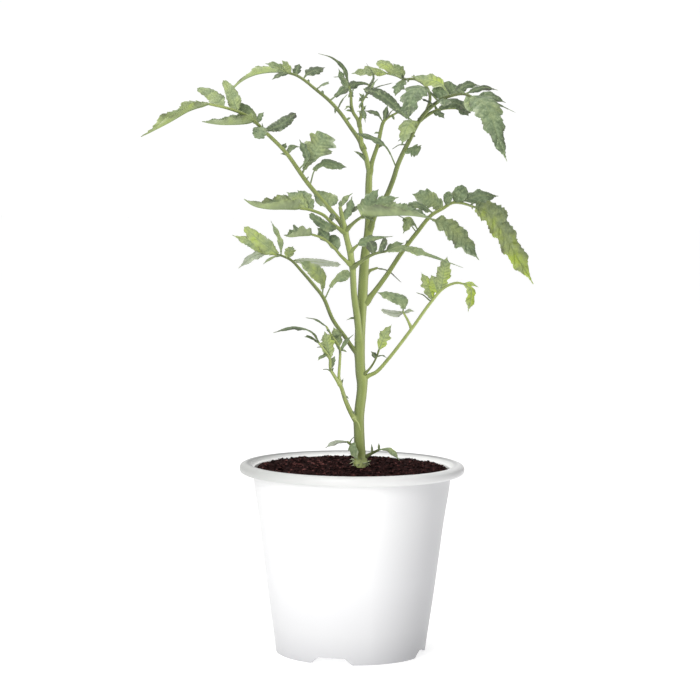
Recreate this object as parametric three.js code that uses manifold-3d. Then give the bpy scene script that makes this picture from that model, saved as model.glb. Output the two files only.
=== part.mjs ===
// A tomato seedling standing in its filled nursery pot.
// Millimetres, +Z up, origin on the pot's axis in the plane it stands on, +Y away from the viewer.
import * as THREE from "three";
import { mergeVertices } from "three/addons/utils/BufferGeometryUtils.js";
import Module from "manifold-3d";

const wasm = await Module();
wasm.setup();

// Driving dimensions
const SIDES = 32; // facets round the pot and the soil
const GAP = 0.3; // clearance between neighbouring pieces
const WALL = 1.2; // thickness of the pot's wall
const RIM_RADIUS = 57.15; // half of a 4.5 inch rim
const RIM_TOP = 96.6; // height of the pot
const FOOT_RADIUS = 38.2;
const FOOT_WIDTH = 1.8; // width of the ring that the pot stands on
const FLOOR_UNDERSIDE = 3.5;
const FLOOR_TOP = 4.7;
const NOTCH = { height: 3.3, wideBelow: 21.6, wideAbove: 13.8, firstAngle: -15, count: 4 };
const DRAIN = { radius: 3, ring: 25, firstAngle: 30, count: 4 };
const SOIL_TOP = 94.6;
const SOIL_BUMP = 0.6; // how far the soil's surface rises and falls
const BLADE_THICK = 0.75;
const STALK_HALF = 0.5; // half the width of a leaflet's own stalk
const LONG_STALK = 2.6; // a stalk longer than this is bare, a shorter one widens straight into its blade
const FINEST = 0.04; // faces that change the surface by less than this are left out
const RIB_STEP = 11; // spacing of the rings along a stem

// Outer wall of the pot as [radius, height], from the foot to the underside of the rim
const OUTER_WALL = [
  [FOOT_RADIUS, 0], [38.7, 5], [41.7, 26], [44.3, 46], [46.8, 66], [49.6, 84.5], [50.3, 91],
];
const ROLLED_RIM = [
  [56, 91.8], [56.9, 92.6], [RIM_RADIUS, 93.9], [56.8, 95.4], [55.2, 96.4], [53.5, RIM_TOP],
];

const COLOURS = { pot: "#f4f4f3", soil: "#2d1512", stem: "#96aa5f", leaf: "#738c69", young: "#9baf64" };

const place = (p) => new THREE.Vector3(p[0], p[1], p[2]);

// A random number source that gives the same draws each time
function drawsFrom(seed) {
  let state = seed;
  return () => {
    state = (state + 0x6d2b79f5) | 0;
    let t = Math.imul(state ^ (state >>> 15), 1 | state);
    t = (t + Math.imul(t ^ (t >>> 7), 61 | t)) ^ t;
    return ((t ^ (t >>> 14)) >>> 0) / 4294967296;
  };
}

// A closed solid from points and triangles, turned face out if it was built inside out
function solidFrom(positions, triangles) {
  let volume = 0;
  const corner = (i) => place(positions.slice(3 * i, 3 * i + 3));
  for (let i = 0; i < triangles.length; i += 3) {
    const [a, b, c] = [corner(triangles[i]), corner(triangles[i + 1]), corner(triangles[i + 2])];
    volume += a.dot(b.cross(c));
  }
  const faces = volume < 0 ? triangles.slice().reverse() : triangles;
  const mesh = { numProp: 3, vertProperties: new Float32Array(positions), triVerts: new Uint32Array(faces) };
  return new wasm.Manifold(new wasm.Mesh(mesh));
}

// A closed solid from a three.js geometry, with shared corners merged and empty triangles left out
function solidFromGeometry(source) {
  const bare = source.clone();
  bare.deleteAttribute("normal");
  bare.deleteAttribute("uv");
  const merged = mergeVertices(bare, 1e-4);
  const index = Array.from(merged.index.array);
  const kept = [];
  for (let i = 0; i < index.length; i += 3) {
    const [a, b, c] = index.slice(i, i + 3);
    if (a !== b && b !== c && c !== a) {
      kept.push(a, b, c);
    }
  }
  return solidFrom(Array.from(merged.attributes.position.array), kept);
}

function join(solids) {
  return solids.reduce((whole, next) => whole.add(next));
}

// The largest body of a solid: crumbs that a cut leaves behind are dropped, and needless small faces
function mainBody(solid) {
  const bodies = solid.asOriginal().simplify(FINEST).decompose();
  bodies.sort((a, b) => b.volume() - a.volume());
  return bodies[0];
}

function meshOf(name, solid, colour, roughness) {
  const { numProp, vertProperties, triVerts } = solid.getMesh();
  const positions = new Float32Array((vertProperties.length / numProp) * 3);
  for (let i = 0; i < positions.length / 3; i += 1) {
    positions.set(vertProperties.subarray(i * numProp, i * numProp + 3), i * 3);
  }
  const geometry = new THREE.BufferGeometry();
  geometry.setAttribute("position", new THREE.BufferAttribute(positions, 3));
  geometry.setIndex(new THREE.BufferAttribute(new Uint32Array(triVerts), 1));
  geometry.computeVertexNormals();
  const material = new THREE.MeshStandardMaterial({ color: colour, roughness, metalness: 0 });
  const mesh = new THREE.Mesh(geometry, material);
  mesh.name = name;
  return mesh;
}

function revolved(profile) {
  const points = profile.map(([radius, height]) => new THREE.Vector2(radius, height));
  return new THREE.LatheGeometry(points, SIDES).rotateX(Math.PI / 2);
}

// A piece made at the front of the pot, copied round its axis from the first angle on
function copiesRound(geometry, { firstAngle, count }) {
  const copies = [];
  for (let i = 0; i < count; i += 1) {
    const angle = THREE.MathUtils.degToRad(firstAngle + (i * 360) / count);
    copies.push(solidFromGeometry(geometry.clone().rotateZ(angle)));
  }
  return join(copies);
}

// Pot

function pot() {
  const insideWall = OUTER_WALL.slice(2).map(([radius, height]) => [radius - WALL, height]).reverse();
  const profile = [
    [0, FLOOR_UNDERSIDE],
    [FOOT_RADIUS - FOOT_WIDTH, FLOOR_UNDERSIDE],
    [FOOT_RADIUS - FOOT_WIDTH, 0],
    ...OUTER_WALL,
    ...ROLLED_RIM,
    [51.8, 96.2],
    [49.7, 94.2],
    ...insideWall,
    [37.4, FLOOR_TOP],
    [0, FLOOR_TOP],
  ];
  const wall = solidFromGeometry(revolved(profile));
  const { height, wideBelow, wideAbove } = NOTCH;
  const gate = new THREE.Shape();
  gate.moveTo(-wideBelow / 2, -1);
  gate.lineTo(wideBelow / 2, -1);
  gate.lineTo(wideBelow / 2, 0);
  gate.lineTo(wideAbove / 2, height);
  gate.lineTo(-wideAbove / 2, height);
  gate.lineTo(-wideBelow / 2, 0);
  const cutter = new THREE.ExtrudeGeometry(gate, { depth: 10, bevelEnabled: false });
  cutter.rotateX(Math.PI / 2).translate(0, -FOOT_RADIUS + 8, 0);
  const drain = new THREE.CylinderGeometry(DRAIN.radius, DRAIN.radius, 8, 12);
  drain.rotateX(Math.PI / 2).translate(0, -DRAIN.ring, FLOOR_TOP);
  return wall.subtract(copiesRound(cutter, NOTCH)).subtract(copiesRound(drain, DRAIN));
}

// Soil

function soil() {
  const side = OUTER_WALL.slice(2).map(([radius, height]) => [radius - WALL - GAP, height]);
  const profile = [
    [0, FLOOR_TOP + GAP],
    [37.4 - GAP, FLOOR_TOP + GAP],
    ...side,
    [48.9, SOIL_TOP - 1],
    [45, SOIL_TOP],
    [32, SOIL_TOP],
    [18, SOIL_TOP],
    [0, SOIL_TOP],
  ];
  const geometry = revolved(profile);
  const points = geometry.attributes.position;
  for (let i = 0; i < points.count; i += 1) {
    const [x, y, z] = [points.getX(i), points.getY(i), points.getZ(i)];
    if (z > SOIL_TOP - 0.1) {
      points.setZ(i, z + SOIL_BUMP * Math.sin(0.31 * x + 0.8) * Math.cos(0.27 * y - 0.5));
    }
  }
  return solidFromGeometry(geometry);
}

// Stems and ribs: a round tube through hand-set points, with one radius for each point

class Rib {
  constructor(path, radii) {
    this.points = path.map(place);
    this.curve = new THREE.CatmullRomCurve3(this.points, false, "centripetal");
    this.radii = radii;
    this.length = this.curve.getLength();
  }

  // Radius at a share of the way along the points, the list stretched over them
  radiusAt(share) {
    const spot = share * (this.radii.length - 1);
    const low = Math.min(Math.floor(spot), this.radii.length - 2);
    return THREE.MathUtils.lerp(this.radii[low], this.radii[low + 1], spot - low);
  }

  solid(sides, grown = 0) {
    const steps = Math.max(2, Math.ceil(this.length / RIB_STEP));
    const frames = this.curve.computeFrenetFrames(steps);
    const positions = [];
    for (let i = 0; i <= steps; i += 1) {
      const centre = this.curve.getPointAt(i / steps);
      const beyond = i === steps ? grown : 0;
      centre.addScaledVector(this.curve.getTangentAt(i / steps), beyond);
      const radius = this.radiusAt(this.curve.getUtoTmapping(i / steps)) + grown;
      for (let k = 0; k < sides; k += 1) {
        const angle = (2 * Math.PI * k) / sides;
        const out = frames.normals[i].clone().multiplyScalar(Math.cos(angle));
        out.addScaledVector(frames.binormals[i], Math.sin(angle));
        positions.push(...centre.clone().addScaledVector(out, radius).toArray());
      }
    }
    const triangles = [];
    for (let i = 0; i < steps; i += 1) {
      for (let k = 0; k < sides; k += 1) {
        const a = i * sides + k;
        const b = i * sides + ((k + 1) % sides);
        triangles.push(a, b, a + sides, b, b + sides, a + sides);
      }
    }
    for (let k = 1; k < sides - 1; k += 1) {
      const last = steps * sides;
      triangles.push(0, k + 1, k, last, last + k, last + k + 1);
    }
    return solidFrom(positions, triangles);
  }
}

// Leaflets: stations along the blade as [place along it, half width, how far the edge leads the midrib].
// Peaks are the lobes and the lines between them the cuts. A leaflet that names no shape gets one of the
// first four by its width. The others are for leaflets that are blunt, smooth-edged, broad at the rib,
// long-tailed, tapered or fan-like.
const OUTLINES = {
  broad: [
    [0, 0.12, 0], [0.09, 0.72, 0.04], [0.17, 0.6, 0.02], [0.31, 1, 0.07], [0.4, 0.8, 0.02],
    [0.52, 0.92, 0.07], [0.62, 0.62, 0.02], [0.73, 0.66, 0.06], [0.83, 0.38, 0.02], [1, 0.03, 0],
  ],
  middling: [
    [0, 0.14, 0], [0.18, 0.84, 0.07], [0.3, 0.64, 0.02], [0.47, 1, 0.08], [0.59, 0.6, 0.02],
    [0.71, 0.58, 0.06], [1, 0.04, 0],
  ],
  small: [[0, 0.2, 0], [0.24, 0.92, 0.08], [0.4, 0.62, 0.02], [0.58, 0.82, 0.09], [1, 0.06, 0]],
  tiny: [[0, 0.3, 0], [0.4, 1, 0.05], [1, 0.1, 0]],
  blunt: [[0, 0.45, 0], [0.3, 0.95, 0.02], [0.65, 1, 0.03], [0.92, 0.62, 0.02], [1, 0.3, 0]],
  entire: [[0, 0.4, 0], [0.2, 0.92, 0], [0.48, 1, 0], [0.78, 0.6, 0], [1, 0.05, 0]],
  sheathing: [
    [0, 0.9, 0], [0.25, 1, 0.03], [0.5, 0.82, 0.01], [0.72, 0.72, 0.04], [0.92, 0.42, 0.02], [1, 0.2, 0],
  ],
  tailed: [
    [0, 0.5, 0], [0.14, 1, 0.04], [0.24, 0.76, 0.01], [0.38, 0.94, 0.06], [0.48, 0.5, 0.01],
    [0.62, 0.36, 0.03], [1, 0.05, 0],
  ],
  tapered: [
    [0, 0.5, 0], [0.12, 1, 0.04], [0.21, 0.86, 0.01], [0.33, 0.94, 0.06], [0.43, 0.7, 0.01],
    [0.54, 0.72, 0.05], [0.66, 0.46, 0.01], [0.78, 0.4, 0.04], [1, 0.03, 0],
  ],
  fan: [
    [0, 0.16, 0], [0.24, 0.46, 0.05], [0.36, 0.42, 0.02], [0.52, 1, 0.13], [0.62, 0.7, 0.04],
    [0.74, 1, 0.12], [0.84, 0.62, 0.04], [0.93, 0.66, 0.06], [1, 0.2, 0],
  ],
};
const WIDTHS = { broad: 11, middling: 6.5, small: 3.5, tiny: 0 };

function outlineFor({ wide, shape }) {
  return OUTLINES[shape ?? Object.keys(WIDTHS).find((name) => wide >= WIDTHS[name])];
}

// Point, side and up direction along a leaflet's midrib, with the blade facing the given way at its middle
function bladeFrames(curve, face) {
  const count = 24;
  const frames = [];
  for (let i = 0; i <= count; i += 1) {
    frames.push({ point: curve.getPointAt(i / count), along: curve.getTangentAt(i / count) });
  }
  const carry = (from, to) => {
    let up = face.clone();
    for (let i = from; i !== to; i += Math.sign(to - from)) {
      up.addScaledVector(frames[i].along, -up.dot(frames[i].along)).normalize();
      frames[i].up = up.clone();
      frames[i].side = frames[i].along.clone().cross(up);
    }
  };
  carry(count / 2, -1);
  carry(count / 2, count + 1);
  return (share) => {
    const spot = THREE.MathUtils.clamp(share, 0, 1) * count;
    const low = Math.min(Math.floor(spot), count - 1);
    const mix = (key) => frames[low][key].clone().lerp(frames[low + 1][key], spot - low);
    return { point: mix("point"), side: mix("side").normalize(), up: mix("up").normalize() };
  };
}

// One leaflet: a thin waved blade on its stalk, both faces split into triangles alike
function leaflet(rib, spec, draw) {
  const base = rib.curve.getPoint(spec.at / (rib.points.length - 1));
  const tip = place(spec.tip);
  const reach = base.distanceTo(tip);
  const middle = base.clone().lerp(tip, 0.5).add(new THREE.Vector3(0, 0, 0.1 * reach));
  const through = spec.via ? spec.via.map(place) : [middle];
  const curve = new THREE.CatmullRomCurve3([base, ...through, tip], false, "centripetal");
  const frameAt = bladeFrames(curve, place(spec.face ?? [0, -0.15, 1]));
  const length = curve.getLength();
  const stalk = spec.stalk ?? Math.min(0.14, 4 / length);
  const cup = spec.cup ?? -0.12;
  const thin = BLADE_THICK * Math.hypot(1, cup); // measured straight up, so more where the halves stand steep
  const rows = [[0, STALK_HALF, STALK_HALF, 0, 0]];
  const outline = outlineFor(spec);
  const halves = spec.halves ?? [1, 1];
  for (const [along, half, lead] of stalk * length > LONG_STALK ? outline : outline.slice(1)) {
    const widths = halves.map((share) => {
      const wide = share * half * (spec.wide / 2) * (0.9 + 0.2 * draw());
      return Math.max(STALK_HALF, wide);
    });
    rows.push([stalk + along * (1 - stalk), ...widths, lead * (1 - stalk), (draw() - 0.5) * 0.3]);
  }
  const positions = [];
  for (const [share, left, right, lead, wave] of rows) {
    const edge = frameAt(share + lead);
    const spots = [
      [edge, -left, left * (cup + wave), thin],
      [frameAt(share), 0, 0, thin + 0.7 * (1 - share)],
      [edge, right, right * (cup - wave), thin],
    ];
    for (const below of [0, 1]) {
      for (const [frame, out, lift, thick] of spots) {
        const spot = frame.point.clone().addScaledVector(frame.side, out);
        spot.addScaledVector(frame.up, lift + thin / 2 - below * thick);
        positions.push(...spot.toArray());
      }
    }
  }
  return solidFrom(positions, bladeTriangles(rows.length));
}

// Each row holds left edge, midrib and right edge of the upper face (0, 1, 2) and of the lower (3, 4, 5)
function bladeTriangles(rowCount) {
  const triangles = [];
  for (let i = 0; i < rowCount - 1; i += 1) {
    const a = i * 6;
    const b = a + 6;
    triangles.push(a + 1, a, b + 1, a, b, b + 1);
    triangles.push(a + 2, a + 1, b + 1, a + 2, b + 1, b + 2);
    triangles.push(a + 3, a + 4, b + 4, a + 3, b + 4, b + 3);
    triangles.push(a + 4, a + 5, b + 4, a + 5, b + 5, b + 4);
    triangles.push(a, a + 3, b, a + 3, b + 3, b);
    triangles.push(a + 5, a + 2, b + 2, a + 5, b + 2, b + 5);
  }
  const end = (rowCount - 1) * 6;
  triangles.push(0, 1, 3, 1, 4, 3, 1, 2, 4, 2, 5, 4);
  triangles.push(end + 1, end, end + 3, end + 1, end + 3, end + 4);
  triangles.push(end + 2, end + 1, end + 4, end + 2, end + 4, end + 5);
  return triangles;
}

// The plant's own shape

const STEMS = {
  main_stem: {
    sides: 8,
    ribs: [
      {
        path: [
          [4.3, -1, 60], [4.3, -1, 93.5], [4.2, -1, 97], [4, -1, 101], [3.3, -1, 120], [4.7, 0, 136],
          [3.8, 0, 143], [3.4, 0, 161.5], [4.5, 0, 182], [5.4, 0, 200], [7.4, 0, 217], [7.1, 0, 237],
          [7.4, 0, 245.5],
        ],
        radii: [2.4, 2.7, 3.4, 2.8, 2.6, 2.6, 2.5, 2.6, 2.5, 2.3, 2.1, 1.7, 1.5],
      },
      {
        path: [[7.4, 0, 244], [5, 1, 254], [3.4, 1, 258], [2.9, 0, 263.5], [2.2, -1, 268]],
        radii: [1.3, 1.2, 1.1, 1, 0.8],
        leaflets: [{ at: 0.5, tip: [-0.5, -5, 254.8], wide: 1.8, shape: "entire", face: [0, -1, 0.3] }],
      },
    ],
  },
  side_shoot: {
    sides: 6,
    ribs: [
      {
        path: [
          [3.4, 0, 158], [1.8, -5, 172], [0.2, -9, 183], [-1, -13, 198.5], [-4.2, -17, 213.5],
          [-6.4, -20, 223.5], [-7.2, -20.5, 227],
        ],
        radii: [1.7, 1.8, 1.6, 1.5, 1.4, 1.1, 0.8],
        leaflets: [
          { at: 4.6, via: [[-2.7, -22, 225.5]], tip: [-1.3, -24, 232.5], wide: 5, face: [0, -1, 0.3] },
          {
            at: 5, via: [[-4, -19.5, 224.5], [0.6, -20.5, 226.5]], tip: [5.4, -19.5, 230.5],
            wide: 3.2, face: [0, -0.7, 0.7],
          },
          { at: 6, tip: [-0.8, -22.5, 234], wide: 3, face: [0.3, -1, 0.2] },
          { at: 6, tip: [-7, -22, 230.4], wide: 2, face: [0, -1, 0] },
          { at: 0.9, tip: [-3.5, -7, 169.9], wide: 1.2, face: [0, -1, 0.4] },
        ],
      },
    ],
  },
  low_shoot: {
    sides: 6,
    ribs: [
      {
        path: [[3.4, -1, 117], [0.2, -3, 121], [-3.7, -8, 129.5], [-5.7, -11, 136], [-6.9, -12, 138.5]],
        radii: [1.3, 1.3, 1.1, 1, 1],
      },
      {
        path: [
          [-6.3, -11.5, 137.5], [-9.5, -14, 142.5], [-11.3, -16, 146], [-11.6, -18, 151],
          [-15, -21, 156.5], [-17.2, -23, 159.5],
        ],
        radii: [0.9, 0.8, 0.75, 0.7, 0.6, 0.5],
        leaflets: [
          { at: 5, tip: [-24, -30, 163], wide: 5.6, face: [0, -0.6, 1] },
          { at: 4.6, via: [[-20.5, -26, 165], [-29, -31, 167.5]], tip: [-39.3, -36, 165.3], wide: 6.5 },
          { at: 3, tip: [-14.4, -18, 165], wide: 8, face: [-0.2, -1, 0.2] },
          { at: 3.4, tip: [-17.5, -25, 151], wide: 4.4 },
          { at: 1.6, tip: [-15, -19, 146], wide: 2.4 },
          { at: 2, tip: [-9, -16.5, 152.5], wide: 3.6, face: [0.3, -1, 0] },
        ],
      },
      {
        path: [
          [-6.3, -11.5, 137.5], [-7, -12, 141], [-6.7, -12, 148.5], [-6.6, -11, 154.5], [-7.8, -11, 158],
          [-10.9, -12, 162.5], [-13.6, -13, 167],
        ],
        radii: [0.9, 0.75, 0.7, 0.65, 0.6, 0.5, 0.5],
        leaflets: [
          { at: 6, tip: [-24, -10, 171.3], wide: 2.8 },
          { at: 3.6, tip: [-10, -8.5, 166.5], wide: 6.5, face: [0.2, -1, 0.2] },
          { at: 3, tip: [0.2, -9.5, 163], wide: 3, face: [0, -0.6, 0.8] },
          { at: 4.6, tip: [-16.5, -14, 160], wide: 5, face: [-0.2, -1, 0.4] },
        ],
      },
    ],
  },
};

// Leaves: each has its ribs, and the leaflets that grow from them.
// A leaflet's "at" counts along its rib's points, "face" is the way its upper side looks.
const LEAVES = {
  leaf_upper_left: [
    {
      path: [
        [-4.6, -16.6, 214.6], [-5.6, -16.2, 217.5], [-8.7, -15, 221.6], [-23, -13, 238], [-33.6, -25, 253],
        [-42.6, -38, 262.3], [-51.5, -50, 270.5], [-60.2, -60, 274], [-69.6, -68, 276],
      ],
      radii: [1.5, 1.3, 1.2, 1.1, 1, 0.9, 0.8, 0.7, 0.6],
      leaflets: [
        {
          at: 8, via: [[-78, -77, 272.9], [-86.8, -84, 267.3]], tip: [-100, -89, 260.1],
          wide: 6.6, stalk: 0.03, shape: "small", cup: 1.3,
        },
        { at: 7.3, tip: [-76.3, -52, 284], wide: 8, stalk: 0.02, shape: "sheathing", face: [0, -1, 0.6] },
        {
          at: 6.6, tip: [-64, -50, 288],
          wide: 7.5, stalk: 0.02, shape: "sheathing", face: [-0.6, -1, 0.4],
        },
        {
          at: 5.7, via: [[-55.4, -56, 267.1], [-64.6, -63, 266.7]], tip: [-73, -66, 267.8],
          wide: 8, shape: "tapered", cup: 1.2,
        },
        { at: 5.4, tip: [-46, -60, 259.8], wide: 7.4, stalk: 0.03, shape: "blunt", face: [0, -1, 0.3] },
        {
          at: 5.2, via: [[-37.9, -32, 266.5]], tip: [-29.3, -22, 273.2],
          wide: 6.2, shape: "blunt", face: [0, -1, 0.5],
        },
        { at: 5.5, tip: [-57, -47, 276.3], wide: 6, shape: "blunt", face: [0, -1, 0.4] },
        { at: 5.6, tip: [-44.5, -40, 273.1], wide: 3.6, face: [0, -1, 0.4] },
        {
          at: 3.3, via: [[-23.3, -12, 249.4]], tip: [-14.3, -5, 263.3],
          wide: 16, stalk: 0.2, shape: "fan", face: [-0.3, -1, 0.3],
        },
        {
          at: 3.45, via: [[-23.9, -17, 250.5]], tip: [-27.8, -11, 260.4],
          wide: 5, stalk: 0.3, face: [-0.2, -1, 0.3],
        },
        {
          at: 2.95, via: [[-19.6, -10, 245.9], [-14.8, -7, 248.4]], tip: [-4, -3, 246.7],
          wide: 7, stalk: 0.5, shape: "entire", face: [0, -1, 0.5],
        },
        {
          at: 2.8, via: [[-14.7, -13, 230.8]], tip: [-8, -14, 230.3],
          wide: 8, stalk: 0.03, shape: "blunt", face: [0, -1, 0.5],
        },
        { at: 4, via: [[-31, -21, 256.6]], tip: [-26.6, -17, 256.5], wide: 3.4, face: [0, -1, 0.4] },
        { at: 4.2, tip: [-34, -24, 258.5], wide: 3, face: [0, -1, 0.2] },
      ],
    },
  ],
  leaf_upper_right: [
    {
      path: [
        [7.4, 0, 215], [10.9, -2, 224], [15.8, -6, 232], [19.2, -9, 240.5], [21.8, -12, 249],
        [27.6, -18, 261.7], [30.5, -22, 268], [34.9, -27, 274.3], [40.6, -33, 279.2],
        [45.8, -39, 281.6], [51.8, -45, 282.6], [55.7, -49, 281.4],
      ],
      radii: [1.5, 1.4, 1.3, 1.25, 1.2, 1.1, 1.1, 1, 0.9, 0.8, 0.7, 0.6],
      leaflets: [
        {
          at: 11, via: [[61.6, -56, 278], [65.2, -62, 270.7], [67.5, -66, 262.6]], tip: [72.1, -70, 250.1],
          wide: 14.5, stalk: 0.03, shape: "tapered", face: [0.3, -1, 0.5],
        },
        { at: 10.5, tip: [56.1, -50, 274], wide: 6, shape: "blunt", face: [-0.2, -1, 0.4] },
        { at: 8.2, tip: [41.4, -30, 287.8], wide: 8, shape: "blunt", face: [0, -1, 0.3] },
        { at: 9.2, via: [[54.8, -37, 287.4]], tip: [60.8, -34, 287.1], wide: 5.6, face: [0, -0.8, 0.6] },
        { at: 7.6, tip: [33, -37, 279.5], wide: 8, face: [-0.3, -0.7, 0.8] },
        { at: 8.5, tip: [43, -44, 276.5], wide: 7.4, face: [0, -0.7, 0.6] },
        { at: 10.2, via: [[62.4, -40, 285.9]], tip: [69.5, -36, 284.9], wide: 4.8, face: [0, -0.8, 0.6] },
        {
          at: 8.4, via: [[44.3, -30, 285.8]], tip: [51.8, -27, 285.5],
          wide: 8, shape: "blunt", face: [0, -0.8, 0.5],
        },
        {
          at: 8, via: [[33.3, -38, 285.5], [27.3, -44, 281.4]], tip: [25.4, -50, 269.4],
          wide: 13, stalk: 0.2, face: [-0.5, -0.9, 0.6],
        },
        {
          at: 9, via: [[41, -35, 288]], tip: [27.2, -28, 291.6],
          wide: 9, stalk: 0.25, face: [0, -0.9, 0.7],
        },
        {
          at: 6.2, via: [[26.6, -29, 268.6]], tip: [22.7, -33, 257.6],
          wide: 10.5, stalk: 0.1, face: [-0.4, -1, 0.5],
        },
        { at: 4.4, tip: [31.9, -22, 254.8], wide: 7.5, shape: "fan", face: [0.2, -1, 0.3] },
        { at: 5, tip: [21.4, -10, 260], wide: 3.6 },
        { at: 4.7, tip: [18.5, -8, 256], wide: 2.4 },
        {
          at: 3.7, via: [[15.5, -12, 256.9], [9, -10.5, 261.1]], tip: [-0.9, -9.5, 264.2],
          wide: 4.6, stalk: 0.42, face: [0.3, -1, 0.7],
        },
        {
          at: 6, via: [[22.6, -18, 274.3], [13.1, -19, 282.4]], tip: [3.6, -19, 285.5],
          wide: 5.4, stalk: 0.3, shape: "blunt", face: [0, -1, 0.4],
        },
      ],
    },
    {
      path: [
        [31.5, -23, 270], [38.4, -25, 274.3], [44.5, -21, 276.2], [51, -17, 276.4], [55.4, -14, 275.6],
      ],
      radii: [0.9, 0.8, 0.75, 0.7, 0.6],
      leaflets: [
        {
          at: 4, via: [[64.4, -22, 282.4]], tip: [74, -27, 279.1],
          wide: 7.4, shape: "tapered", face: [0, -0.9, 0.6],
        },
        { at: 4, via: [[66.5, -22, 279.2]], tip: [78.6, -28, 274.4], wide: 2.6, face: [0, -1, 0.4] },
        { at: 1, tip: [43.7, -31, 271], wide: 4, face: [0, -1, 0.4] },
        { at: 3, tip: [56, -22.5, 272.5], wide: 5.6, face: [0, -1, 0.4] },
        {
          at: 1.3, via: [[48.1, -24, 279]], tip: [57, -25.5, 273.9],
          wide: 7, shape: "blunt", face: [0, -0.7, 0.7],
        },
      ],
    },
    {
      path: [
        [35.5, -27.5, 275], [36.8, -22, 281.6], [34.9, -18, 287], [29.5, -15, 290.6], [24.2, -13, 290.6],
        [20.4, -12, 292.3], [15.6, -11.5, 293.4],
      ],
      radii: [0.8, 0.75, 0.7, 0.7, 0.6, 0.6, 0.5],
      leaflets: [
        {
          at: 6, via: [[7, -14, 294.5]], tip: [-2.1, -17, 293],
          wide: 7, stalk: 0.04, face: [0, -0.9, 0.6],
        },
        { at: 5, tip: [10.8, -6, 299.8], wide: 7, shape: "blunt", face: [0.3, -0.9, 0.6] },
        { at: 4.2, tip: [18.6, -18, 298], wide: 7, face: [-0.5, -0.9, 0.5] },
        { at: 4, tip: [19.5, -21, 282], wide: 7, face: [-0.5, -1, 0.4] },
      ],
    },
  ],
  leaf_middle_right: [
    {
      path: [
        [5.6, 0, 178], [8.8, 1, 181.7], [16.5, 6, 191.8], [24.3, 13, 203.4], [32.2, 21, 213.4],
        [39.9, 30, 222.3], [46.1, 36, 225.8], [51.2, 42, 228.6], [56.5, 47, 228.4], [62.7, 53, 226.5],
      ],
      radii: [1.5, 1.35, 1.2, 1.15, 1.1, 1, 0.9, 0.8, 0.7, 0.6],
      leaflets: [
        {
          at: 9, via: [[70, 62, 224.1], [76.9, 69, 217.1], [85.2, 79, 204.1]], tip: [97.5, 88, 184.3],
          wide: 22, halves: [1, 0.72], stalk: 0.03, face: [0.1, -0.9, 0.6],
        },
        { at: 7.6, via: [[65, 50, 232.2]], tip: [76.2, 57, 232.2], wide: 10, face: [0, -0.9, 0.6] },
        { at: 7.2, tip: [58.3, 42, 236.8], wide: 8, shape: "blunt", face: [0, -1, 0.4] },
        {
          at: 4.8, via: [[49.7, 33, 216.2], [58.4, 38, 207.8]], tip: [65.4, 40, 198.9],
          wide: 13, shape: "broad", face: [0.2, -0.9, 0.5],
        },
        {
          at: 6, via: [[40.3, 36, 230.1]], tip: [29.9, 36, 233.1],
          wide: 11, shape: "broad", stalk: 0.1, face: [0, -1, 0.5],
        },
        { at: 5.2, tip: [26.1, 16, 227.2], wide: 8, face: [0, -0.8, 0.7] },
        { at: 6.4, tip: [49, 34, 234.6], wide: 4.6, shape: "blunt", face: [0, -1, 0] },
        { at: 4, tip: [21.3, 12, 223.1], wide: 3, stalk: 0.5 },
        {
          at: 4.1, via: [[29.1, 17, 220.5]], tip: [24.9, 12, 213.1],
          wide: 7, stalk: 0.2, face: [-0.3, -1, 0.3],
        },
      ],
    },
  ],
  leaf_lower_left: [
    {
      path: [
        [3.6, 0, 152], [0.5, 0, 154.4], [-3.7, 3, 160], [-10.4, 7, 169], [-15.5, 13, 180],
        [-21.1, 18, 186.8], [-26.6, 23, 192.7], [-32.2, 28, 198.2], [-37.8, 33, 200.6], [-43.5, 38, 201.6],
      ],
      radii: [1.3, 1.1, 1.05, 1, 0.95, 0.9, 0.8, 0.7, 0.6, 0.55],
      leaflets: [
        { at: 9, via: [[-51.8, 42, 200.2]], tip: [-60.6, 44, 193.3], wide: 6, face: [0, -0.9, 0.6] },
        {
          at: 8, via: [[-50.2, 42, 205.7]], tip: [-64.1, 48, 210.6],
          wide: 7.5, shape: "entire", face: [-0.1, -1, 0.5],
        },
        {
          at: 8.3, via: [[-48, 35, 207.4]], tip: [-57.6, 39, 215.3],
          wide: 8.5, shape: "sheathing", stalk: 0.03, face: [-0.3, -0.9, 0.5],
        },
        { at: 8, via: [[-38.5, 32, 208.6]], tip: [-43.3, 31, 218.7], wide: 3.6, face: [-0.4, -1, 0.2] },
        { at: 8, tip: [-47, 26, 196.4], wide: 4 },
        { at: 7.4, tip: [-31.5, 23, 205.7], wide: 6.5, face: [0.3, -1, 0.4] },
        {
          at: 7, via: [[-23.8, 34, 197.8]], tip: [-6.7, 38, 196],
          wide: 5.5, shape: "blunt", face: [0, -0.8, 0.7],
        },
        {
          at: 4.1, via: [[-16.2, 8, 190.2]], tip: [-28.1, 5, 199.2],
          wide: 8.5, stalk: 0.3, shape: "entire", face: [-0.2, -0.8, 0.6],
        },
        {
          at: 3.9, via: [[-9.8, 13.4, 188.5]], tip: [-1.9, 9, 193.2],
          wide: 6, stalk: 0.56, shape: "blunt", face: [-0.2, -1, 0.4],
        },
      ],
    },
  ],
  leaf_lower_right: [
    {
      path: [
        [4.2, 0, 138.5], [7.4, -1, 141], [11.9, -4, 143.6], [18.1, -9, 151], [29.1, -19, 166.6],
        [37.7, -28, 179.8], [44.2, -35, 187.9], [50.2, -41, 190.8], [53.5, -44, 190.5],
      ],
      radii: [1.3, 1.05, 0.95, 0.9, 0.85, 0.8, 0.7, 0.6, 0.5],
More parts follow.
